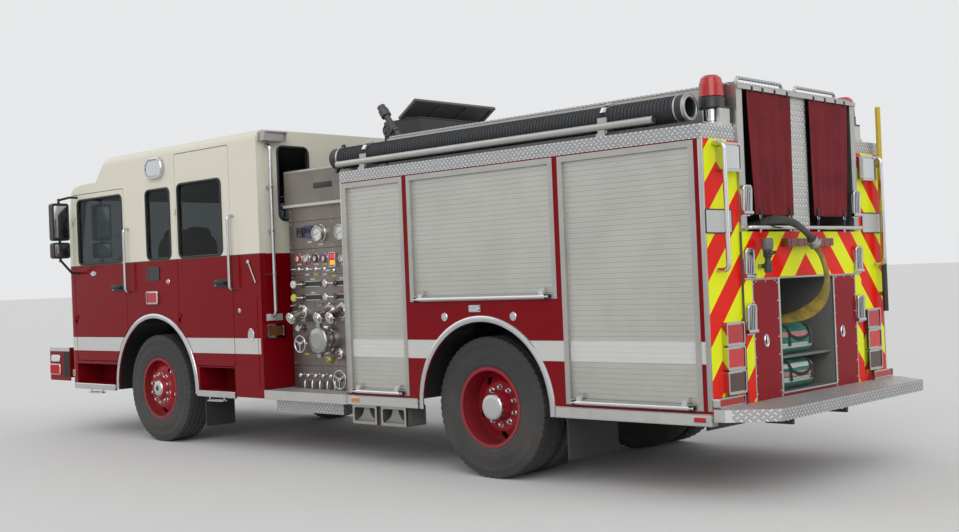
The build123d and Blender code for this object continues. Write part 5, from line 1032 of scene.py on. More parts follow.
def makeSeats():
    channels = [(1, -0.45), (1, 0.45)]
    pads = {
        "cushion": swollen(pillow(seats["cushion"], channels, 0.22), seats["voxel"], 4.0, 0.02),
        "back": swollen(pillow(seats["back"], channels + [(2, 0.1)], 0.0), seats["voxel"], 4.0, 0.015),
        "headrest": swollen(pillow(seats["head"], [], 0.0, 3.0), seats["voxel"], 4.0, 0.01),
    }
    bases = bmesh.new()
    standIns = []
    places = [(row, side * seats["halfApart"]) for row in seats["rows"] for side in (1, -1)]
    for number, ((setback, facing, floorZ, topZ), y) in enumerate(places, 1):
        x = alongCab(setback)
        for label, pad in pads.items():
            mesh = pad.copy()
            shift = 0.0 if label == "cushion" else facing * seats["backOut"]
            mesh.transform(Matrix.Translation((x - shift, y, topZ + seats["lifts"][label])))
            piece = addPiece(f"seat_{label}_{number}", mesh, "seat", "cab", 80.0)
            standIns.append(piece)
        addBlock(bases, (x - 0.15, y - 0.17, floorZ), (x + 0.15, y + 0.17, topZ - 0.12), 0.012)
        addBlock(bases, (x - 0.2, y - 0.2, topZ - 0.14), (x + 0.2, y + 0.2, topZ - 0.115), 0.008)
    base = addPiece("seat_bases", finishMesh("seat_bases", bases), "black", "cab")
    for piece in (base, *standIns):
        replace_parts(piece, "crew_seats")


makeSeats()

bags = {
    "rows": [(0.6405, 0.850), (0.8865, 1.100)],
    "x": (-4.185, -3.835),
    "y": (-0.25, 0.30),
    "voxel": 0.009,
    "straps": (-0.12, 0.17),
}


def slump(mesh, number, low, high):  # soft dents on the sides and top, flat where the bag rests
    x0, x1 = bags["x"]
    phase = random.Random(number).uniform(0.0, 6.0)
    for vert in mesh.vertices:
        share = max(0.0, (vert.co.z - low) / (high - low))
        dent = (0.5 + 0.5 * math.sin(vert.co.y * 19.0 + phase)) * (0.6 + 0.4 * math.sin(vert.co.x * 23.0))
        vert.co.z -= 0.010 * share * dent
        vert.co.x += 0.006 * math.sin(vert.co.y * 27.0 + phase) * share
        vert.co.z = max(vert.co.z, low + 0.0005)
        vert.co.x = min(max(vert.co.x, x0), x1)


def makeBags():
    (x0, x1), (y0, y1) = bags["x"], bags["y"]
    straps = bmesh.new()
    for number, (z0, z1) in enumerate(bags["rows"], 1):
        size = (x1 - x0 - 0.02, y1 - y0 - 0.03, z1 - z0 - 0.012)
        block = pillow(size, [(2, -0.62), (2, 0.62)], 0.0, 5.0)
        mesh = swollen(block, bags["voxel"], 3.0, 0.008, subdivide=False)
        mesh.transform(Matrix.Translation(((x0 + x1) / 2, (y0 + y1) / 2, (z0 + z1) / 2)))
        slump(mesh, number, z0, z1)
        piece = addPiece(f"equipment_bag_{number}", mesh, "bag", "root", 80.0)
        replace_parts(piece, "equipment_bags")
        loop = [(x0 + 0.004, z0 + 0.06), (x0 + 0.004, z1 - 0.06), (x0 + 0.03, z1 - 0.018),
                (x0 + 0.08, z1 - 0.006), (x1 - 0.08, z1 - 0.006), (x1 - 0.03, z1 - 0.018),
                (x1 - 0.006, z1 - 0.06), (x1 - 0.006, z0 + 0.06)]
        for y in bags["straps"]:
            wavy = [(x, y + 0.0032 * (place % 2), z) for place, (x, z) in enumerate(loop)]
            addSweep(straps, wavy, 0.019, 0.002, (0, 1, 0))
        near, far = bags["straps"]
        sag = [math.sin(math.pi * step / 8) for step in range(9)]
        handle = [(x0 + 0.002 - 0.004 * low, near + (far - near) * step / 8, z1 - 0.075 - 0.035 * low)
                  for step, low in enumerate(sag)]
        addSweep(straps, handle, 0.012, 0.003, (0, 0, 1))
    addPiece("bag_straps", finishMesh("bag_straps", straps), "strap")


makeBags()

curtains = {
    "y": (0.132, 0.715),
    "lowY": (0.150, 0.655),
    "z": (1.864, 2.700),
    "x": (-4.243, -4.230),
    "fold": 0.002475,
    "folds": ((1.0, 21.0, 1.5), (0.6, 37.0, -2.2), (0.5, 9.0, 5.0)),  # height, pitch, lean
    "hem": 0.028,
    "hemOut": 0.0012,
    "dip": 0.006,
    "columns": 64,
    "rowsUp": 84,
    "thickness": 0.0022,
}


def makeCurtain(sideName, side):
    (y0, y1), (low0, low1), (z0, z1) = curtains["y"], curtains["lowY"], curtains["z"]
    backX, frontX = curtains["x"]
    columns, rowsUp = curtains["columns"], curtains["rowsUp"]
    jitter = random.Random(11 if side > 0 else 23)
    phases = [jitter.uniform(0.0, 6.3) for step in range(4)]
    shape = bmesh.new()
    grid = []
    for row in range(rowsUp + 1):
        down = 1.0 - row / rowsUp
        left, right = y0 + (low0 - y0) * down ** 1.3, y1 + (low1 - y1) * down ** 1.3
        line = []
        for column in range(columns + 1):
            share = column / columns
            z = z0 + (z1 - z0) * row / rowsUp - curtains["dip"] * down * math.sin(math.pi * share)
            folds = sum(height * math.sin(share * pitch + phase + down * lean)
                        for (height, pitch, lean), phase in zip(curtains["folds"], phases))
            x = (backX + frontX) / 2 + curtains["fold"] * folds * (down ** 0.7 + 0.15)
            if min(min(share, 1.0 - share) * (y1 - y0), z - z0) < curtains["hem"]:
                x -= curtains["hemOut"]
            y = left + (right - left) * share
            line.append(shape.verts.new((min(max(x, backX), frontX), side * y, z)))
        grid.append(line)
    for low, high in zip(grid, grid[1:]):
        for step in range(columns):
            shape.faces.new((low[step], low[step + 1], high[step + 1], high[step]))
    name = "bed_curtain_" + sideName
    piece = addPiece(name, finishMesh(name, shape), "curtain", "root", 80.0)
    solid = piece.modifiers.new("thickness", "SOLIDIFY")
    solid.thickness = curtains["thickness"]
    solid.offset = 0.0
    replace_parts(piece, "hosebed_curtains")
    width, height = y1 - y0, z1 - z0
    cut = (width + (low1 - low0)) / 2 * height + 0.012 * height
    min(cut, width * height)


for sideName, side in bothWays:
    makeCurtain(sideName, side)
print("soft pieces made")


# Geometry Nodes trees for what repeats: nuts, domed rivets, tapered blocks, lozenges, hoops and swept trim
def nutPlan():  # a washer, a hexagon and a domed end
    plan = Plan("wheelNuts", radius=0.017, height=0.03)
    radius, height = plan.given("radius"), plan.given("height")
    washer = plan.cone(14, radius * 1.3, radius * 1.2, height * 0.12)
    flats = plan.cone(6, radius, radius, height * 0.62, height * 0.1)
    shoulder = plan.cone(12, radius * 0.82, radius * 0.66, height * 0.2, height * 0.72)
    tip = plan.cone(12, radius * 0.66, radius * 0.2, height * 0.1, height * 0.92)
    return plan.repeat(plan.join(washer, flats, shoulder, tip))


def rivetPlan():
    plan = Plan("rivets", radius=0.006, height=0.004)
    radius, height = plan.given("radius"), plan.given("height")
    foot = plan.cone(10, radius, radius * 0.82, height * 0.6)
    dome = plan.cone(10, radius * 0.82, radius * 0.35, height * 0.4, height * 0.6)
    return plan.repeat(plan.join(foot, dome))


def scaledPlan(name, sides, low, high, turn, **sizes):  # a tapered block or lozenge
    plan = Plan(name, **sizes)
    base = plan.moved(plan.cone(sides, low, high, 1.0), Rotation=(0.0, 0.0, turn))
    return plan.repeat(plan.moved(base, Scale=plan.vector(*(plan.given(label) for label in sizes))))


def hoopPlan():
    plan = Plan("hoops", radius=0.09, thickness=0.005, segments=40)
    line = plan.circle(plan.given("segments"), plan.given("radius"))
    return plan.repeat(plan.swept(line, plan.circle(6, plan.given("thickness"))))


def trimPlan():  # a round section along every edge of the input mesh
    plan = Plan("trim", radius=0.006, sides=8)
    line = plan.node("GeometryNodeMeshToCurve", None, {"Mesh": plan.given("Points")})
    return plan.close(plan.swept(line, plan.circle(plan.given("sides"), plan.given("radius")), True))


plans = {
    "nut": nutPlan(),
    "rivet": rivetPlan(),
    "block": scaledPlan("blocks", 4, 0.7071, 0.5, math.pi / 4, length=0.02, width=0.01, height=0.004),
    "lozenge": scaledPlan("lozenges", 8, 1.0, 0.55, 0.0, length=0.0135, width=0.005, height=0.0016),
    "hoop": hoopPlan(),
    "trim": trimPlan(),
}


def grow(planName, name, seeds, finishName, body, values, sharp=38.0):
    plan = plans[planName]
    carrier = bpy.data.objects.new(name + "Seeds", seeds)
    scene.collection.objects.link(carrier)
    modifier = carrier.modifiers.new("grow", "NODES")
    modifier.node_group = plan.tree
    for label, value in values.items():
        modifier[plan.sockets[label]] = value
    modifier[plan.sockets["material"]] = finishes[finishName]
    mesh = bakeModifiers(carrier)
    bpy.data.objects.remove(carrier)
    for label in ("aim", "side"):
        if label in mesh.attributes:
            mesh.attributes.remove(mesh.attributes[label])
    return addPiece(name, mesh, finishName, body, sharp)


def scatter(planName, name, rows, finishName, body="root", sharp=38.0, **values):  # rows: (place, aim, side)
    seeds = bpy.data.meshes.new(name + "Points")
    seeds.from_pydata([row[0] for row in rows], [], [])
    for label, column in (("aim", 1), ("side", 2)):
        layer = seeds.attributes.new(label, "FLOAT_VECTOR", "POINT")
        layer.data.foreach_set("vector", [value for row in rows for value in row[column]])
    return grow(planName, name, seeds, finishName, body, values, sharp)


def outlines(name, loops, finishName, body="root", closed=True, **values):
    points, edges = [], []
    for loop in loops:
        first = len(points)
        points += loop
        edges += [(first + step, first + step + 1) for step in range(len(loop) - 1)]
        if closed:
            edges.append((len(points) - 1, first))
    seeds = bpy.data.meshes.new(name + "Lines")
    seeds.from_pydata(points, edges, [])
    return grow("trim", name, seeds, finishName, body, values, 60.0)


def alongLine(low, high, pitch):
    count = max(1, round((high - low) / pitch))
    return [low + (high - low) * step / count for step in range(count + 1)]


def sideRows(places):  # rows for things that stand on both side faces
    return [((x, side * y, z), (0.0, side, 0.0), (1.0, 0.0, 0.0))
            for side in (1, -1) for x, y, z in places]


def rearRows(x, places):  # and on a rear face, at (across, z)
    return [((x, side * across, z), (-1.0, 0.0, 0.0), (0.0, 1.0, 0.0))
            for side in (1, -1) for across, z in places]


# Wheels: tyres with grooves and shoulder lugs, and chrome nuts
wheels = {
    "tyreRadius": 0.535,
    "shoulder": 0.028,
    "grooveDepth": 0.011,
    "grooveHalf": 0.0055,
    "grooves": (-0.62, -0.2, 0.2, 0.62),
    "lugs": 60,
    "lugCut": 0.008,
    "nutCircle": 0.1429,
    "nutCount": 10,
    # The side wall from the bead outwards: radius, inset from the widest place
    "wall": [(0.292, 0.032), (0.298, 0.019), (0.312, 0.0125), (0.332, 0.006), (0.336, 0.0075),
             (0.362, 0.0025), (0.398, 0.0), (0.402, 0.0015), (0.436, 0.002), (0.462, 0.0055),
             (0.466, 0.004), (0.486, 0.0075), (0.490, 0.010)],
    # Where the lugs start: radius, inset, and how much of a lug's cut each takes
    "lugWall": [(0.507, 0.0105, 0.4, 0.4), (0.524, 0.0155, 1.0, 0.3), (0.532, 0.0205, 1.0, 0.0)],
}
wheelPlaces = {  # body: (x, the middles of its tyres, tyre width, y of the nuts' seat)
    "front_wheel_left": (vehicle["frontAxleX"], (1.05,), 0.300, 1.162),
    "front_wheel_right": (vehicle["frontAxleX"], (-1.05,), 0.300, -1.162),
    "rear_wheels_left": (vehicle["rearAxleX"], (1.06, 0.72), 0.280, 1.058),
    "rear_wheels_right": (vehicle["rearAxleX"], (-1.06, -0.72), 0.280, -1.058),
}


def tyreProfile(width, cut):
    half, top, g = width / 2, wheels["tyreRadius"], wheels["grooveHalf"]
    treadHalf = half - wheels["shoulder"]
    wall = [(radius, half - inset) for radius, inset in wheels["wall"]]
    wall += [(radius - cut * inward, half - inset - cut * sideways)
             for radius, inset, inward, sideways in wheels["lugWall"]]
    wall.append((top - cut, treadHalf))
    deep = top - wheels["grooveDepth"]
    tread = []
    for place in reversed(wheels["grooves"]):
        y = place * treadHalf
        rib = cut if abs(place) > 0.5 else 0.0
        outerCut, innerCut = (rib, 0.0) if place > 0 else (0.0, rib)
        tread += [(top - outerCut, y + g), (deep, y + g * 0.6), (deep, y - g * 0.6), (top - innerCut, y - g)]
    return wall + tread + [(r, -o) for r, o in reversed(wall)]


def makeWheelPieces(wheelBody):
    x, middles, width, seatY = wheelPlaces[wheelBody]
    profiles = [tyreProfile(width, cut) for cut in (wheels["lugCut"], 0.0, 0.0)] * wheels["lugs"]

    def treads(shape):
        for middle in middles:
            hub = Vector((x, middle, vehicle["axleZ"]))
            rings = [[hub + Vector(turnPoint("Y", r, o, angle)) for r, o in profile]
                     for angle, profile in zip(roundAngles(len(profiles)), profiles)]
            skinRings(shape, rings, looped=True)

    tyreNode = wheelBody.replace("front_wheel", "tyre_front").replace("rear_wheels", "tyres_rear")
    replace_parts(makePiece(tyreNode + "_treaded", treads, "tyre", wheelBody, 32.0), tyreNode)
    side = math.copysign(1.0, seatY)
    rows = []
    for step in range(wheels["nutCount"]):
        angle = 2 * math.pi * (step + 0.5) / wheels["nutCount"]
        place = Vector((x, seatY, vehicle["axleZ"])) + Vector(turnPoint("Y", wheels["nutCircle"], 0.0, angle))
        rows.append((tuple(place), (0.0, side, 0.0), (math.cos(angle), 0.0, math.sin(angle))))
    scatter("nut", wheelBody + "_nuts", rows, "chrome", wheelBody, 30.0, radius=0.0175, height=0.036)


for wheelBody in wheelPlaces:
    makeWheelPieces(wheelBody)
print("wheels made")


# Outlines and flat shapes that the fittings share
def roundedLoop(u0, u1, v0, v1, radius, place, steps=5):  # place(u, v) gives the point
    loop = []
    left, right, low, high = u0 + radius, u1 - radius, v0 + radius, v1 - radius
    corners = ((right, high), (left, high), (left, low), (right, low))
    for quarter, (cu, cv) in enumerate(corners):
        for step in range(steps + 1):
            angle = math.pi / 2 * (quarter + step / steps)
            loop.append(place(cu + radius * math.cos(angle), cv + radius * math.sin(angle)))
    return loop


def onSide(y):
    return lambda u, v: (u, y, v)


def onEnd(x):
    return lambda u, v: (x, u, v)


def addOval(shape, center, halfU, halfV, steps, axis="Y", sides=32):  # steps: (share of the size, offset)
    rings = []
    for share, offset in steps:
        flat = [(halfU * share * math.cos(angle), halfV * share * math.sin(angle))
                for angle in roundAngles(sides)]
        shifts = [(u, offset, v) if axis == "Y" else (offset, u, v) for u, v in flat]
        rings.append([Vector(center) + Vector(shift) for shift in shifts])
    skinRings(shape, rings)


# Cab fittings on both sides
cab = {
    "windows": {  # body: rear edge, front edge, bottom, top
        "front_door": (2.87, 3.775, 1.83, 2.525),
        "cab": (1.975, 2.405, 1.83, 2.525),
        "crew_door": (1.105, 1.83, 1.83, 2.545),
    },
    "windowCorner": 0.055,
    "gasketRadius": 0.0115,
    "rearWindow": (0.62, 0.98, 2.12, 2.80),
    "screenMiddle": (3.99, 2.20),
    "screenHalf": (1.055, 0.3637),
    "screenCorner": 0.07,
    "wipers": ((0.62, 0.10), (-0.10, -0.62)),  # foot and tip across the screen
    "footUp": -0.395,
    "tipUp": -0.10,
    "handles": {"front_door": 2.995, "crew_door": 1.135},
    "handleZ": 1.56,
    "mirrorX": 3.745,
    "mirrorY": 1.455,
    "mirrors": ((2.29, 0.172, 0.180), (1.985, 0.066, 0.073)),  # height, half size of the glass and of its rim
    "markers": (-0.9, -0.2, 0.0, 0.2, 0.9),
    "panel": ((0.60, 0.955), (0.60, 1.42)),
    "railBrackets": (1.62, 2.02, 2.42),
}
screenUp = Vector((-0.17, 0.0, 0.82)).normalized()
screenOut = Vector((0.82, 0.0, 0.17)).normalized()


def onScreen(across, up, out=0.0):
    x, z = cab["screenMiddle"]
    return tuple(Vector((x, across, z)) + screenUp * up + screenOut * out)


def makeGaskets():
    radius = cab["gasketRadius"]
    for stem, window in cab["windows"].items():
        loops = [roundedLoop(*window, cab["windowCorner"], onSide(side * vehicle["cabY"]))
                 for side in (1, -1)]
        if stem == "cab":
            low, high, bottom, top = cab["rearWindow"]
            loops += [roundedLoop(*spanOn(side, low, high), bottom, top, 0.06, onEnd(vehicle["cabRearX"]))
                      for side in (1, -1)]
            outlines("cab_window_gaskets", loops, "rubber", "cab", radius=radius)
        else:
            for (sideName, side), loop in zip(bothWays, loops):
                outlines(f"{stem}_{sideName}_gasket", [loop], "rubber", f"{stem}_{sideName}", radius=radius)
    halfWide, halfHigh = cab["screenHalf"]
    screen = roundedLoop(-halfWide, halfWide, -halfHigh, halfHigh, cab["screenCorner"], onScreen)
    outlines("windscreen_gasket", [screen], "rubber", "cab", radius=0.013)


def makeWipers():
    arms, blades = bmesh.new(), bmesh.new()
    footUp, tipUp = cab["footUp"], cab["tipUp"]
    for foot, tip in cab["wipers"]:
        middle = (foot + tip) / 2
        hub = [(0.004, -0.012), (0.022, -0.012), (0.02, 0.012), (0.004, 0.014)]
        addTurned(arms, hub, onScreen(foot, footUp, 0.012), 14)
        arm = [onScreen(foot, footUp, 0.02), onScreen(foot, footUp + 0.01, 0.03),
               onScreen(middle, tipUp, 0.035)]
        addSweep(arms, arm, 0.009, 0.004, (0, 1, 0), 6)
        blade = [onScreen(middle + 0.27 * step, tipUp + 0.05 * step, 0.022) for step in (-1, -0.5, 0, 0.5, 1)]
        addSweep(blades, blade, 0.006, 0.012, (0, 0, 1), 6)
    addPiece("wiper_arms", finishMesh("wiper_arms", arms), "darkMetal", "cab")
    addPiece("wiper_blades", finishMesh("wiper_blades", blades), "rubber", "cab")


def makeHandle(stem, x, sideName, side):  # a plate with a raised middle behind the grip, and a lock
    door = f"{stem}_{sideName}"
    y, z = vehicle["cabY"], cab["handleZ"]

    def plate(shape):
        addSideBlock(shape, side, around(x, 0.125), (y - 0.002, y + 0.007), around(z, 0.036), 0.0035)
        middle = roundedLoop(x - 0.07, x + 0.07, z - 0.028, z + 0.028, 0.026, onSide(side * (y + 0.007)))
        skinRings(shape, [middle, [(a, side * (y + 0.012), c) for a, b, c in middle]])

    makePiece(f"{door}_handle_plate", plate, "black", door)
    lock = [((x + 0.098, side * (y + 0.007), z - 0.012), (0.0, side, 0.0), (1.0, 0.0, 0.0))]
    scatter("rivet", f"{door}_lock", lock, "chrome", door, radius=0.011, height=0.005)


def makeMirror(sideName, side):
    x, y, door = cab["mirrorX"], cab["mirrorY"], f"front_door_{sideName}"

    def glass(shape):
        for z, half, rimHalf in cab["mirrors"]:
            addSideBlock(shape, side, (x - 0.0418, x - 0.0385), around(y, 0.078), around(z, half), 0.0012)

    makePiece(f"mirror_glass_{sideName}", glass, "mirror", door)
    rims = [roundedLoop(*spanOn(side, *around(y, 0.084)), *around(z, rimHalf), 0.03, onEnd(x - 0.040))
            for z, half, rimHalf in cab["mirrors"]]
    outlines(f"mirror_rims_{sideName}", rims, "rubber", door, radius=0.005)


def makeDoorFittings():
    for sideName, side in bothWays:
        for stem, x in cab["handles"].items():
            makeHandle(stem, x, sideName, side)
        makeMirror(sideName, side)


def makeCabTrim():
    y = vehicle["cabY"]

    def addSideOval(shape, side, place, halfX, halfZ, steps, sides=32):
        x, out, z = place
        addOval(shape, (x, side * out, z), halfX, halfZ, [(share, side * lift) for share, lift in steps],
                sides=sides)

    def ovals(shape, side):
        addSideOval(shape, side, (0.70, y + 0.0045, 1.075), 0.048, 0.062,
                    [(1.0, 0.0), (1.0, 0.003), (0.9, 0.0065), (0.8, 0.0045), (0.3, 0.006)])
        addSideOval(shape, side, (0.86, y + 0.0045, 1.30), 0.022, 0.022,
                    [(1.0, 0.0), (0.95, 0.006), (0.55, 0.008)], 20)

    def stays(shape, side):
        ends = [(0.70, side * (y + 0.009), 1.74), (0.60, side * (y + 0.009), 1.55)]
        addSweep(shape, ends, 0.0065, 0.0065, (0, 1, 0))

    def balls(shape, side):
        addSideOval(shape, side, (0.70, y, 1.745), 0.017, 0.017,
                    [(0.4, 0.0), (0.8, 0.004), (1.0, 0.012), (0.8, 0.02), (0.35, 0.024)], 16)

    spanX, spanZ = cab["panel"]
    sideBlocks("cab_side_panels", [(spanX, (y - 0.002, y + 0.0045), spanZ)], "cab", 0.003, "cab", 15.0)
    brackets = [((0.452, 0.5365), (1.096, 1.124), around(z, 0.014)) for z in cab["railBrackets"]]
    sideBlocks("rail_brackets", brackets, "chrome", 0.005, "cab")
    bothSides("cab_ovals", ovals, "chrome", "cab", 30.0)
    bothSides("cab_stays", stays, "chrome", "cab")
    bothSides("cab_balls", balls, "dial", "cab")
    for sideName, side in bothWays:
        def bezel(shape):
            addSideOval(shape, side, (3.485, y, 1.725), 0.062, 0.024,
                        [(1.0, 0.0), (1.0, 0.004), (0.85, 0.007), (0.75, 0.005)])

        makePiece(f"front_door_{sideName}_bezel", bezel, "chrome", f"front_door_{sideName}")

    def feet(shape):
        for across in cab["markers"]:
            addBlock(shape, (3.70, across - 0.052, 2.676), (3.775, across + 0.052, 2.6885), 0.004)

    def lenses(shape):
        for across in cab["markers"]:
            addBlock(shape, (3.708, across - 0.043, 2.686), (3.765, across + 0.043, 2.706), 0.007, 3)

    def plate(shape):
        addBlock(shape, (0.527, 0.99, 1.20), (0.536, 1.17, 1.262), 0.003)

    makePiece("marker_feet", feet, "chrome", "cab")
    makePiece("marker_lenses", lenses, "amberLens", "cab")
    makePiece("cab_rear_plate", plate, "plate", "cab")


makeGaskets()
makeWipers()
makeDoorFittings()
makeCabTrim()
print("cab fittings made")


# Pump panel, the same on both sides: dial faces, lit block, labels, screws, pipes and a blank plate
pump = {
    "dials": [  # how far out a face stands; length, width and height of a tick and a needle
        {
            "names": "dial",
            "places": [(0.440, 1.965), (0.750, 1.962)],
            "needles": [-1.9, -2.2],
            "radius": 0.0585,
            "out": 0.0372,
            "tick": (0.0125, 0.0026, 0.0008),
            "needle": (0.066, 0.005, 0.0012),
            "hub": (0.0085, 0.004),
        },
        {
            "names": "small_dial",
            "places": [(0.130, 1.752), (0.245, 1.750), (0.370, 1.746), (0.490, 1.742), (0.740, 1.735)],
            "needles": [-1.7, 0.4, -1.2, -2.0, 0.9],
            "radius": 0.0235,
            "out": 0.0212,
            "tick": (0.005, 0.0012, 0.0007),
            "needle": (0.026, 0.0026, 0.001),
            "hub": (0.004, 0.0025),
        },
    ],
    "ticks": 27,
    "sweep": 1.5 * math.pi,
    "tickShare": 0.84,
    "needleShare": 0.28,
    "litBlock": (0.615, 1.728),
    "screws": {
        "rows": (2.178, 2.105, 2.065, 1.855, 1.815, 1.62, 1.58, 1.21, 1.17, 0.81),
        "setbacks": (0.022, 0.335, 0.60, 0.86, 0.998),
    },
    "labels": {
        "plate": [(0.13, 1.700), (0.37, 1.694), (0.74, 1.683), (0.235, 1.604), (0.48, 1.600),
                  (0.31, 1.560), (0.71, 1.560), (0.31, 1.440), (0.15, 1.196), (0.695, 1.196),
                  (0.44, 1.868), (0.48, 0.862), (0.29, 1.895)],
        "redLens": [(0.245, 1.698), (0.12, 1.606), (0.532, 1.196), (0.71, 1.440), (0.640, 0.846)],
        "poleYellow": [(0.490, 1.690), (0.360, 1.602), (0.605, 1.584), (0.185, 0.892), (0.75, 1.868)],
    },
    "drains": (0.150, 0.255, 0.360, 0.465, 0.570),
    "drainZ": 0.705,
    "chains": (0.150, 0.532, 0.695),
    "chainZ": 1.276,
    # Middle, size, height of the buttons
    "screens": [((0.170, 1.997), (0.058, 0.026), 1.955), ((0.290, 1.997), (0.086, 0.040), 1.945)],
    "headerOut": 1.0295,
    "nameplate": ((0.42, 0.67), (2.362, 2.412)),
}


def onDial(group, side, setback, z, angle, share):  # a place on a dial and the direction towards it
    dx, dz = side * -math.sin(angle), math.cos(angle)
    reach = group["radius"] * share
    y = side * (vehicle["panelY"] + group["out"])
    return (onPanel(setback) + dx * reach, y, z + dz * reach), (0.0, side, 0.0), (dx, 0.0, dz)


def makeDials():
    tickAngles = [pump["sweep"] * (step / (pump["ticks"] - 1) - 0.5) for step in range(pump["ticks"])]
    faces = bmesh.new()
    rows = {(kind, group["names"]): [] for kind in ("ticks", "needles", "hubs") for group in pump["dials"]}
    for side in (1, -1):
        for group in pump["dials"]:
            names = group["names"]
            for (setback, z), needle in zip(group["places"], group["needles"]):
                y = side * (vehicle["panelY"] + group["out"] - 0.0015)
                addOval(faces, (onPanel(setback), y, z), group["radius"], group["radius"],
                        [(1.0, 0.0), (1.0, side * 0.0015)], sides=36)
                rows["ticks", names] += [onDial(group, side, setback, z, angle, pump["tickShare"])
                                         for angle in tickAngles]
                (x, y, needleZ), aim, along = onDial(group, side, setback, z, needle, pump["needleShare"])
                rows["needles", names].append(((x, y + side * 0.0008, needleZ), aim, along))
                rows["hubs", names].append(((onPanel(setback), y, z), aim, (1.0, 0.0, 0.0)))
    addPiece("dial_faces", finishMesh("dial_faces", faces), "dial", "root", 30.0)
    for kind, sizes in (("ticks", "tick"), ("needles", "needle")):
        for group in pump["dials"]:
            length, width, height = group[sizes]
            scatter("block", f"{group['names']}_{kind}", rows[kind, group["names"]], "ink",
                    length=length, width=width, height=height)
    for group in pump["dials"]:
        radius, height = group["hub"]
        scatter("rivet", group["names"] + "_hubs", rows["hubs", group["names"]], "chrome",
                radius=radius, height=height)


def makePanelTrim():
    y = vehicle["panelY"]
    places = [(onPanel(setback), y, z)
              for z in pump["screws"]["rows"] for setback in pump["screws"]["setbacks"]]
    scatter("rivet", "panel_screws", sideRows(places), "chrome", radius=0.0062, height=0.0035)
    for finishName, spots in pump["labels"].items():
        rows = sideRows([(onPanel(setback), y, z) for setback, z in spots])
        scatter("block", "labels_" + finishName, rows, finishName, length=0.062, width=0.015, height=0.0014)
    setback, z = pump["litBlock"]
    cells = [(onPanel(setback) + left, onPanel(setback) + left + 0.028) for left in (-0.030, 0.002)]
    for name, up, finishName in (("lit_red", 0.027, "glowRed"), ("lit_amber", -0.027, "glowAmber")):
        blocks = [(x, (y + 0.018, y + 0.0225), around(z + up, 0.021)) for x in cells]
        sideBlocks(name, blocks, finishName, 0.002)
    out = pump["headerOut"]
    (front, rear), spanZ = pump["nameplate"]
    plate = ((onPanel(rear), onPanel(front)), (out, out + 0.0045), spanZ)
    sideBlocks("blank_nameplate", [plate], "black", 0.003)
    topEdge = ((onPanel(1.01), onPanel(0.01)), (out, out + 0.004), (2.522, 2.544))
    sideBlocks("header_strips", [topEdge], "aluminium", 0.003)

    def pipes(shape, side):  # short drain pipes from the knobs down behind the step
        for place in pump["drains"]:
            line = [(onPanel(place) - 0.03, side * (y + out), pump["drainZ"] - drop)
                    for out, drop in ((-0.004, 0.05), (0.022, 0.052), (0.028, 0.07), (0.028, 0.115))]
            addSweep(shape, line, 0.0095, 0.0095, (1, 0, 0), 10)

    def chains(shape, side):  # cap chains from the outlets to the panel
        for place in pump["chains"]:
            sags = [math.sin(math.pi * step / 6) for step in range(7)]
            points = [(onPanel(place) + 0.050 + 0.012 * step, side * (y + 0.012 + 0.055 * sag),
                       pump["chainZ"] + 0.070 - 0.020 * sag) for step, sag in enumerate(sags)]
            addSweep(shape, points, 0.0035, 0.0035, (0, 0, 1), 6)

    bothSides("drain_pipes", pipes, "chrome")
    bothSides("cap_chains", chains, "chrome")
    screens, buttons = [], []
    for (place, middle), (wide, high), buttonZ in pump["screens"]:
        x = onPanel(place)
        screens.append((around(x, wide / 2), (y + 0.0185, y + 0.0205), around(middle, high / 2)))
        buttons += [(x + step * 0.017, y + 0.019, buttonZ) for step in (-1.5, -0.5, 0.5, 1.5)]
    sideBlocks("screen_glass", screens, "ink", 0.0008)
    scatter("rivet", "screen_buttons", sideRows(buttons), "redLens", radius=0.0055, height=0.003)


makeDials()
makePanelTrim()
print("pump panel dressed")


# Locker body: shutters, rivets, brackets, trim strips, reflectors and raised lozenges on the bright plates
body = {
    "openings": [(0.062, 1.200, 0.600), (1.246, 2.756, 1.345), (2.805, 3.535, 0.600)],  # rear, front, bottom
    "openingTop": 2.345,
    "frameWidth": 0.042,
    "frameY": 1.253,
    "rivetPitch": 0.14,
    "barDrop": 0.025,
    "stripZ": (0.60, 2.352),
    "reflectors": {"redLens": (-4.13,), "amberLens": (-0.76,)},
    "reflectorZ": 0.544,
    "boardEdges": (0.5065, 0.5795),
}

# Roll shutters: nearly flat slats with a fine groove at each joint, and their lift bars
shutters = {
    "inner": 1.214,
    "outer": 1.228,
    "pitch": 0.036,
    "groove": (0.0014, 0.0016),  # half width and depth
    "crown": 0.0003,
    "barY": 1.271,
    "barRadius": 0.013,
    "bracketInset": 0.09,
    "bracketHalf": 0.02,
}


def slatOutline(z0, z1):  # (y, z) points
    inner, outer = shutters["inner"], shutters["outer"]
    grooveHalf, grooveDepth = shutters["groove"]
    count = round((z1 - z0) / shutters["pitch"])
    step = (z1 - z0) / count
    outline = [(inner, z1), (inner, z0)]
    for slat in range(count):
        low = z0 + slat * step
        outline += [(outer - grooveDepth, low + 0.0002), (outer, low + grooveHalf),
                    (outer + shutters["crown"], low + step / 2), (outer, low + step - grooveHalf)]
    return outline + [(outer - grooveDepth, z1)]


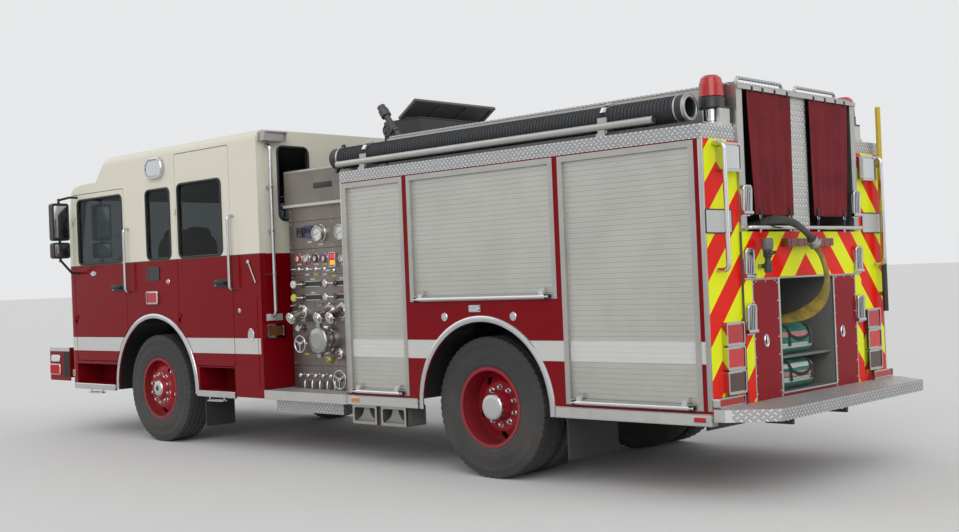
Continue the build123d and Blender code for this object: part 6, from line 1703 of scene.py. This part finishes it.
def makeShutters():
    outer, barY, face, width = shutters["outer"], shutters["barY"], body["frameY"], body["frameWidth"]

    def build(shape, side):
        def extrude(outline, x0, x1):
            skinRings(shape, [[(x, side * y, z) for y, z in outline] for x in (x0, x1)])

        for rear, front, bottom in body["openings"]:
            x0, x1 = onBody(rear) + width, onBody(front) - width
            z0 = bottom + width
            barZ = z0 - body["barDrop"]
            extrude(slatOutline(z0, body["openingTop"] - width), x0, x1)
            ends = [(x, side * barY, barZ) for x in (x0 + 0.02, x1 - 0.02)]
            addSweep(shape, ends, shutters["barRadius"], shutters["barRadius"], (0, 0, 1), 20)
            bracket = [(outer - 0.002, z0 + 0.006), (face + 0.002, z0 + 0.006),
                       (face + 0.002, barZ - 0.008), (barY + 0.006, barZ - 0.008),
                       (barY + 0.006, z0 + 0.014), (face, z0 + 0.034), (outer - 0.002, z0 + 0.044)]
            for x in (x0 + shutters["bracketInset"], x1 - shutters["bracketInset"]):
                extrude(bracket, *around(x, shutters["bracketHalf"]))

    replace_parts(bothSides("shutter_curtains", build, "shutter", "root", 20.0), "roll_shutters")


def makeBodyTrim():
    y, half, pitch = vehicle["sideY"], body["frameWidth"] / 2, body["rivetPitch"]
    rivets, bars = [], []
    for rear, front, bottom in body["openings"]:
        x0, x1, z0, z1 = onBody(rear) + half, onBody(front) - half, bottom + half, body["openingTop"] - half
        rivets += [(x, body["frameY"], z) for z in (z0, z1) for x in alongLine(x0, x1, pitch)]
        rivets += [(x, body["frameY"], z) for x in (x0, x1) for z in alongLine(z0, z1, pitch)[1:-1]]
        barZ = bottom + body["frameWidth"] - body["barDrop"]
        bars += [((x, x + 0.038), (y + 0.0028, y + 0.033), around(barZ, 0.0175))
                 for x in (onBody(rear) + 0.062, onBody(front) - 0.100)]
    scatter("rivet", "frame_rivets", sideRows(rivets), "chrome", radius=0.0052, height=0.0026)
    sideBlocks("lift_bar_ends", bars, "black", 0.006)
    back, ahead = vehicle["bodyRearX"], vehicle["bodyFrontX"]
    strips = [((back - 0.0022, back + 0.030), (y - 0.015, y + 0.0022), body["stripZ"]),
              ((ahead - 0.024, ahead - 0.001), (y - 0.002, y + 0.0035), body["stripZ"])]
    sideBlocks("corner_strips", strips, "aluminium", 0.0015)
    z, boardY = body["reflectorZ"], vehicle["boardY"]
    xs = [x for group in body["reflectors"].values() for x in group]
    rims = [(around(x, 0.052), (boardY - 0.0005, boardY + 0.0035), around(z, 0.022)) for x in xs]
    sideBlocks("reflector_frames", rims, "chrome", 0.0018)
    for finishName, xs in body["reflectors"].items():
        lenses = [(around(x, 0.045), (boardY + 0.002, boardY + 0.007), around(z, 0.016)) for x in xs]
        sideBlocks("reflectors_" + finishName, lenses, finishName, 0.002)
    seams = [[(x, side * boardY, z) for x in ends] for side in (1, -1) for z in body["boardEdges"]
             for ends in ((-4.213, -2.93), (-1.50, -0.657))]
    outlines("board_edges", seams, "aluminium", closed=False, radius=0.003)


# Raised lozenges where a plate shows its profile, at the same places as the treadplate finish has them
lozenges = {
    "margin": 0.013,
    "size": {"length": 0.0135, "width": 0.0050, "height": 0.0016},
    "capY": (0.84, 1.255),
    "capFace": 1.2548,
    "stepX": (-0.65, 0.485),
    "stepY": (0.80, 1.262),
    "stepTop": 0.5828,
    "stripY": (-0.12, 0.12),
    "stripZ": (1.765, 2.69),
    "tailX": (-4.595, -4.24),
    "tailY": (-1.262, 1.262),
    "tailTop": 0.6158,
    "chamfer": (-4.315, 0.786, 1.245),  # the tailboard's corners: start, slope, half width
}
inPlane = {"X": onEnd, "Y": onSide, "Z": lambda at: lambda u, v: (u, v, at)}


def lozengeRows(axis, at, aim, us, vs, keep=None):  # over two spans of the plane that axis is square to
    place, turn = inPlane[axis](at), inPlane[axis](0.0)
    aims = tuple(aim if letter == axis else 0.0 for letter in "XYZ")
    sums, gaps = [u + v for u in us for v in vs], [u - v for u in us for v in vs]
    rows = []
    for i in range(math.floor(min(sums) * treadPitch / 2) - 1, math.ceil(max(sums) * treadPitch / 2) + 1):
        for j in range(math.floor(min(gaps) * treadPitch / 2) - 1, math.ceil(max(gaps) * treadPitch / 2) + 1):
            u, v = (i + j + 1) / treadPitch, (i - j) / treadPitch
            if us[0] < u < us[1] and vs[0] < v < vs[1] and (keep is None or keep(u, v)):
                rows.append((place(u, v), aims, turn(1, 1) if (i + j) % 2 == 0 else turn(1, -1)))
    return rows


def inset(span):
    return span[0] + lozenges["margin"], span[1] - lozenges["margin"]


def makeLozenges():
    def onTail(u, v):  # inside the chamfered corners
        start, slope, half = lozenges["chamfer"]
        return abs(v) + max(0.0, start - u) * slope < half

    bodyX, capZ = inset((vehicle["bodyRearX"], vehicle["bodyFrontX"])), inset(vehicle["capZ"])
    rearX, capTop = vehicle["bodyRearX"] + 0.0002, vehicle["capZ"][1] - 0.0002
    stepX, tailX, tailY = (inset(lozenges[key]) for key in ("stepX", "tailX", "tailY"))
    groups = {
        "cap": [],
        "cap_end": [],
        "cap_top": [],
        "strip": lozengeRows("X", rearX, -1.0, inset(lozenges["stripY"]), lozenges["stripZ"]),
        "step": [],
        "tail": lozengeRows("Z", lozenges["tailTop"], 1.0, tailX, tailY, onTail),
    }
    for side in (1, -1):
        capY, stepY = (inset(spanOn(side, *lozenges[key])) for key in ("capY", "stepY"))
        groups["cap"] += lozengeRows("Y", side * lozenges["capFace"], side, bodyX, capZ)
        groups["cap_end"] += lozengeRows("X", rearX, -1.0, capY, capZ)
        groups["cap_top"] += lozengeRows("Z", capTop, 1.0, bodyX, capY)
        groups["step"] += lozengeRows("Z", lozenges["stepTop"], 1.0, stepX, stepY)
    for name, rows in groups.items():
        scatter("lozenge", name + "_lozenges", rows, "treadplate", **lozenges["size"])


makeShutters()
makeBodyTrim()
makeLozenges()
print("body dressed")


# Rear: latches, locker trim, curtain straps, plate frames and lamp screws
rear = {
    "plateX": -4.235,
    "lampX": -4.219,
    "latches": [(0.585, 1.012), (-0.505, 1.012)],
    "lockerHalf": 0.392,
    "lockerZ": (0.638, 1.432),
    "panelHalf": 0.735,
    "plateY": (0.930, 1.240),
    "plateZ": (1.742, 1.894),
    "screwY": (0.955, 1.215),
    "screwZ": (1.878, 1.758),
    "curtainStraps": (0.20, 0.60),
    "topStraps": (0.19, 0.36, 0.52, 0.66),
    # The way of a strap down from a curtain's lower corner, and over its top edge: (x, z) points
    "strapLine": [(-4.2345, 1.93), (-4.2455, 1.895), (-4.247, 1.86), (-4.240, 1.80), (-4.237, 1.762)],
    "topLine": [(-4.2475, 2.69), (-4.2505, 2.705), (-4.2505, 2.725), (-4.243, 2.7325), (-4.215, 2.733)],
}


def makeLatches():
    x = rear["plateX"]
    latch, wells = bmesh.new(), bmesh.new()
    for across, z in rear["latches"]:
        ring = [(1.0, 0.002), (1.0, -0.004), (0.9, -0.009), (0.72, -0.007), (0.6, -0.003)]
        addOval(latch, (x, across, z), 0.030, 0.046, ring, axis="X", sides=36)
        addBlock(latch, (x - 0.014, across - 0.008, z - 0.026), (x - 0.003, across + 0.008, z + 0.026), 0.004)
        addOval(wells, (x, across, z), 0.018, 0.028, [(1.0, -0.002), (1.0, -0.0036)], axis="X")
    addPiece("panel_latches", finishMesh("panel_latches", latch), "chrome", "root", 30.0)
    addPiece("latch_wells", finishMesh("latch_wells", wells), "ink")


def makeRearTrim():
    x, half = rear["plateX"], rear["lockerHalf"]
    trim = roundedLoop(-half, half, *rear["lockerZ"], 0.012, onEnd(x - 0.001))
    outlines("locker_trim", [trim], "aluminium", radius=0.0085)
    plateEnd = onEnd(rear["lampX"] - 0.0005)
    plates = [roundedLoop(*spanOn(side, *rear["plateY"]), *rear["plateZ"], 0.012, plateEnd)
              for side in (1, -1)]
    outlines("plate_frames", plates, "black", radius=0.004)
    screws = [(across, z) for z in rear["screwZ"] for across in rear["screwY"]]
    scatter("rivet", "plate_screws", rearRows(rear["lampX"], screws), "chrome", radius=0.006, height=0.004)
    rivets = [(across, z) for z in alongLine(0.66, 1.40, 0.12) for across in (0.412, 0.722)]
    rivets += [(across, 1.415) for across in alongLine(0.44, 0.69, 0.125)]
    scatter("rivet", "panel_rivets", rearRows(x, rivets), "chrome", radius=0.0055, height=0.003)
    seams = [[(x - 0.0005, side * rear["panelHalf"], z) for z in (0.62, 1.428)] for side in (1, -1)]
    seams.append([(x - 0.0005, across, 1.432) for across in (-0.835, 0.835)])
    outlines("panel_seams", seams, "aluminium", closed=False, radius=0.0045)


def makeStraps():
    def along(line, places, halfWidth):
        def build(shape, side):
            for across in places:
                addSweep(shape, [(x, side * across, z) for x, z in line], halfWidth, 0.0013, (0, 1, 0))

        return build

    def hooks(shape, side):
        for across in rear["curtainStraps"]:
            y = side * across
            addBlock(shape, (-4.246, y - 0.019, 1.838), (-4.2415, y + 0.019, 1.862), 0.0018)
            addOval(shape, (rear["plateX"], y, 1.757), 0.016, 0.016,
                    [(1.0, 0.0), (1.0, -0.004), (0.5, -0.009), (0.4, -0.012)], axis="X", sides=18)

    bothSides("curtain_straps", along(rear["strapLine"], rear["curtainStraps"], 0.0145), "strap")
    bothSides("curtain_hooks", hooks, "chrome")
    bothSides("curtain_top_straps", along(rear["topLine"], rear["topStraps"], 0.012), "strap")


# Roof: hose ribs, rings and straps, and the roof box's lip and rivets
roof = {
    "hose": (1.125, 2.575),
    "ribs": (-3.965, -0.60),
    "ribPitch": 0.030,
    "ribSize": {"radius": 0.0862, "thickness": 0.0046, "segments": 30},
    "rings": [  # outlines of (radius, x)
        [(0.066, -4.062), (0.070, -4.0665), (0.087, -4.0665), (0.0915, -4.062), (0.0915, -4.044),
         (0.066, -4.044)],
        [(0.0895, -3.992), (0.0925, -3.989), (0.0925, -3.981), (0.0895, -3.978)],
        [(0.0895, -0.578), (0.0925, -0.575), (0.0925, -0.566), (0.0895, -0.563)],
    ],
    "straps": (-3.415, -0.935),
    "strapReach": 0.024,
    "buckles": (0.55, 1.25),  # angles round the hose
    "buckleRadius": 0.1015,
    "lipZ": 2.977,
}


def makeSuctionFittings():
    y, z = roof["hose"]
    ribs = [((x, y, z), (1.0, 0.0, 0.0), (0.0, 1.0, 0.0)) for x in alongLine(*roof["ribs"], roof["ribPitch"])
            if all(abs(x - strap) > roof["strapReach"] for strap in roof["straps"])]
    scatter("hoop", "suction_ribs", ribs, "hoseRubber", "root", 80.0, **roof["ribSize"])

    def rings(shape):
        for outline in roof["rings"]:
            addTurned(shape, outline, (0.0, y, z), 40)

    def bands(shape):
        for x in roof["straps"]:
            outline = [(0.0975, x - 0.019), (0.1005, x - 0.0185), (0.1005, x + 0.0185), (0.0975, x + 0.019)]
            addTurned(shape, outline, (0.0, y, z), 36)

    def buckles(shape):
        for x in roof["straps"]:
            for angle in roof["buckles"]:
                outer = Vector((x, y, z)) + Vector(turnPoint("X", roof["buckleRadius"], 0.0, angle))
                wide = Vector(turnPoint("X", 0.021, 0.0, angle + math.pi / 2))
                addSweep(shape, [outer - wide, outer, outer + wide], 0.025, 0.0035, (1, 0, 0))

    makePiece("suction_rings", rings, "aluminium", "root", 30.0)
    makePiece("suction_straps", bands, "strap", "root", 40.0)
    makePiece("suction_buckles", buckles, "chrome")


def makeBoxTrim():
    lip = roundedLoop(-0.629, -0.365, -0.799, 0.267, 0.018, inPlane["Z"](roof["lipZ"]))
    outlines("roof_box_lip", [lip], "rubber", radius=0.006)
    rows = []
    for across in alongLine(-0.74, 0.21, 0.19):
        for x, z, aim in ((-0.1465, 2.94, 1.0), (-0.6305, 2.62, -1.0)):  # on the front and the rear wall
            rows.append(((x, across, z), (aim, 0.0, 0.0), (0.0, 1.0, 0.0)))
    scatter("rivet", "roof_box_rivets", rows, "cast", radius=0.007, height=0.003)


makeLatches()
makeRearTrim()
makeStraps()
makeSuctionFittings()
makeBoxTrim()
print("rear and roof dressed")


# Floor, lamps and sky
studio = {
    "floor": (0.74, 0.74, 0.73),
    "floorHalf": 600.0,  # wide enough that no edge of it shows near
    "backdrop": (0.80, 0.81, 0.82),
    "ground": 0.24,
    "horizon": 0.40,
    "zenith": 0.72,
    # Place and power
    "lamps": [((-8.0, 11.0, 9.0), 1.25), ((-12.0, -7.0, 7.0), 0.45), ((11.0, 4.0, 8.0), 0.35)],
    "aim": (0.0, 0.0, 1.2),
    "softness": 50.0,
}


def makeFloor():
    mesh = bpy.data.meshes.new("floor")
    half = studio["floorHalf"]
    corners = [(-half, -half, 0.0), (half, -half, 0.0), (half, half, 0.0), (-half, half, 0.0)]
    mesh.from_pydata(corners, [], [(0, 1, 2, 3)])
    floor = bpy.data.objects.new("floor", mesh)
    scene.collection.objects.link(floor)
    finish = Finish("floorFinish")
    speckle = finish.noise(30.0, 5.0).ramp(0.3, 0.7) * 0.25
    color = finish.mix(speckle, studio["floor"], shaded(studio["floor"], 0.93))
    dress(floor, finish.paint(Base_Color=color, Roughness=0.75))


def aimLamp(name, place, power):  # a broad, even light
    data = bpy.data.lights.new(name, "SUN")
    data.angle = math.radians(studio["softness"])
    data.energy = power
    lamp = bpy.data.objects.new(name, data)
    lamp.location = place
    lamp.rotation_euler = (Vector(studio["aim"]) - Vector(place)).to_track_quat("-Z", "Y").to_euler()
    scene.collection.objects.link(lamp)


class Sky(Wiring):  # darker below and at the horizon for reflections, pale behind the vehicle
    def __init__(self):
        world = bpy.data.worlds.new("studio")
        world.use_nodes = True
        scene.world = world
        self.tree = world.node_tree
        ground, horizon, zenith = studio["ground"], studio["horizon"], studio["zenith"]
        view = self.node("ShaderNodeTexCoord", output="Generated")
        height = self.node("ShaderNodeSeparateXYZ", None, {0: view}, "Z")
        low, high = height.ramp(-0.3, 0.1), height.ramp(0.05, 0.8)
        level = low * (horizon - ground) + ground + high * (zenith - horizon)
        rays = ("Is Camera Ray", "Is Glossy Ray", "Is Transmission Ray")
        seen = reduce(Link.most, [self.node("ShaderNodeLightPath", output=ray) for ray in rays])
        background = self.tree.nodes["Background"]
        self.feed(background.inputs["Color"], studio["backdrop"])
        self.feed(background.inputs["Strength"], self.pick(seen, level, 1.0))


print("setting the stage")
makeFloor()
for number, (place, power) in enumerate(studio["lamps"], 1):
    aimLamp(f"lamp{number}", place, power)
Sky()
scene.view_settings.view_transform = "Standard"
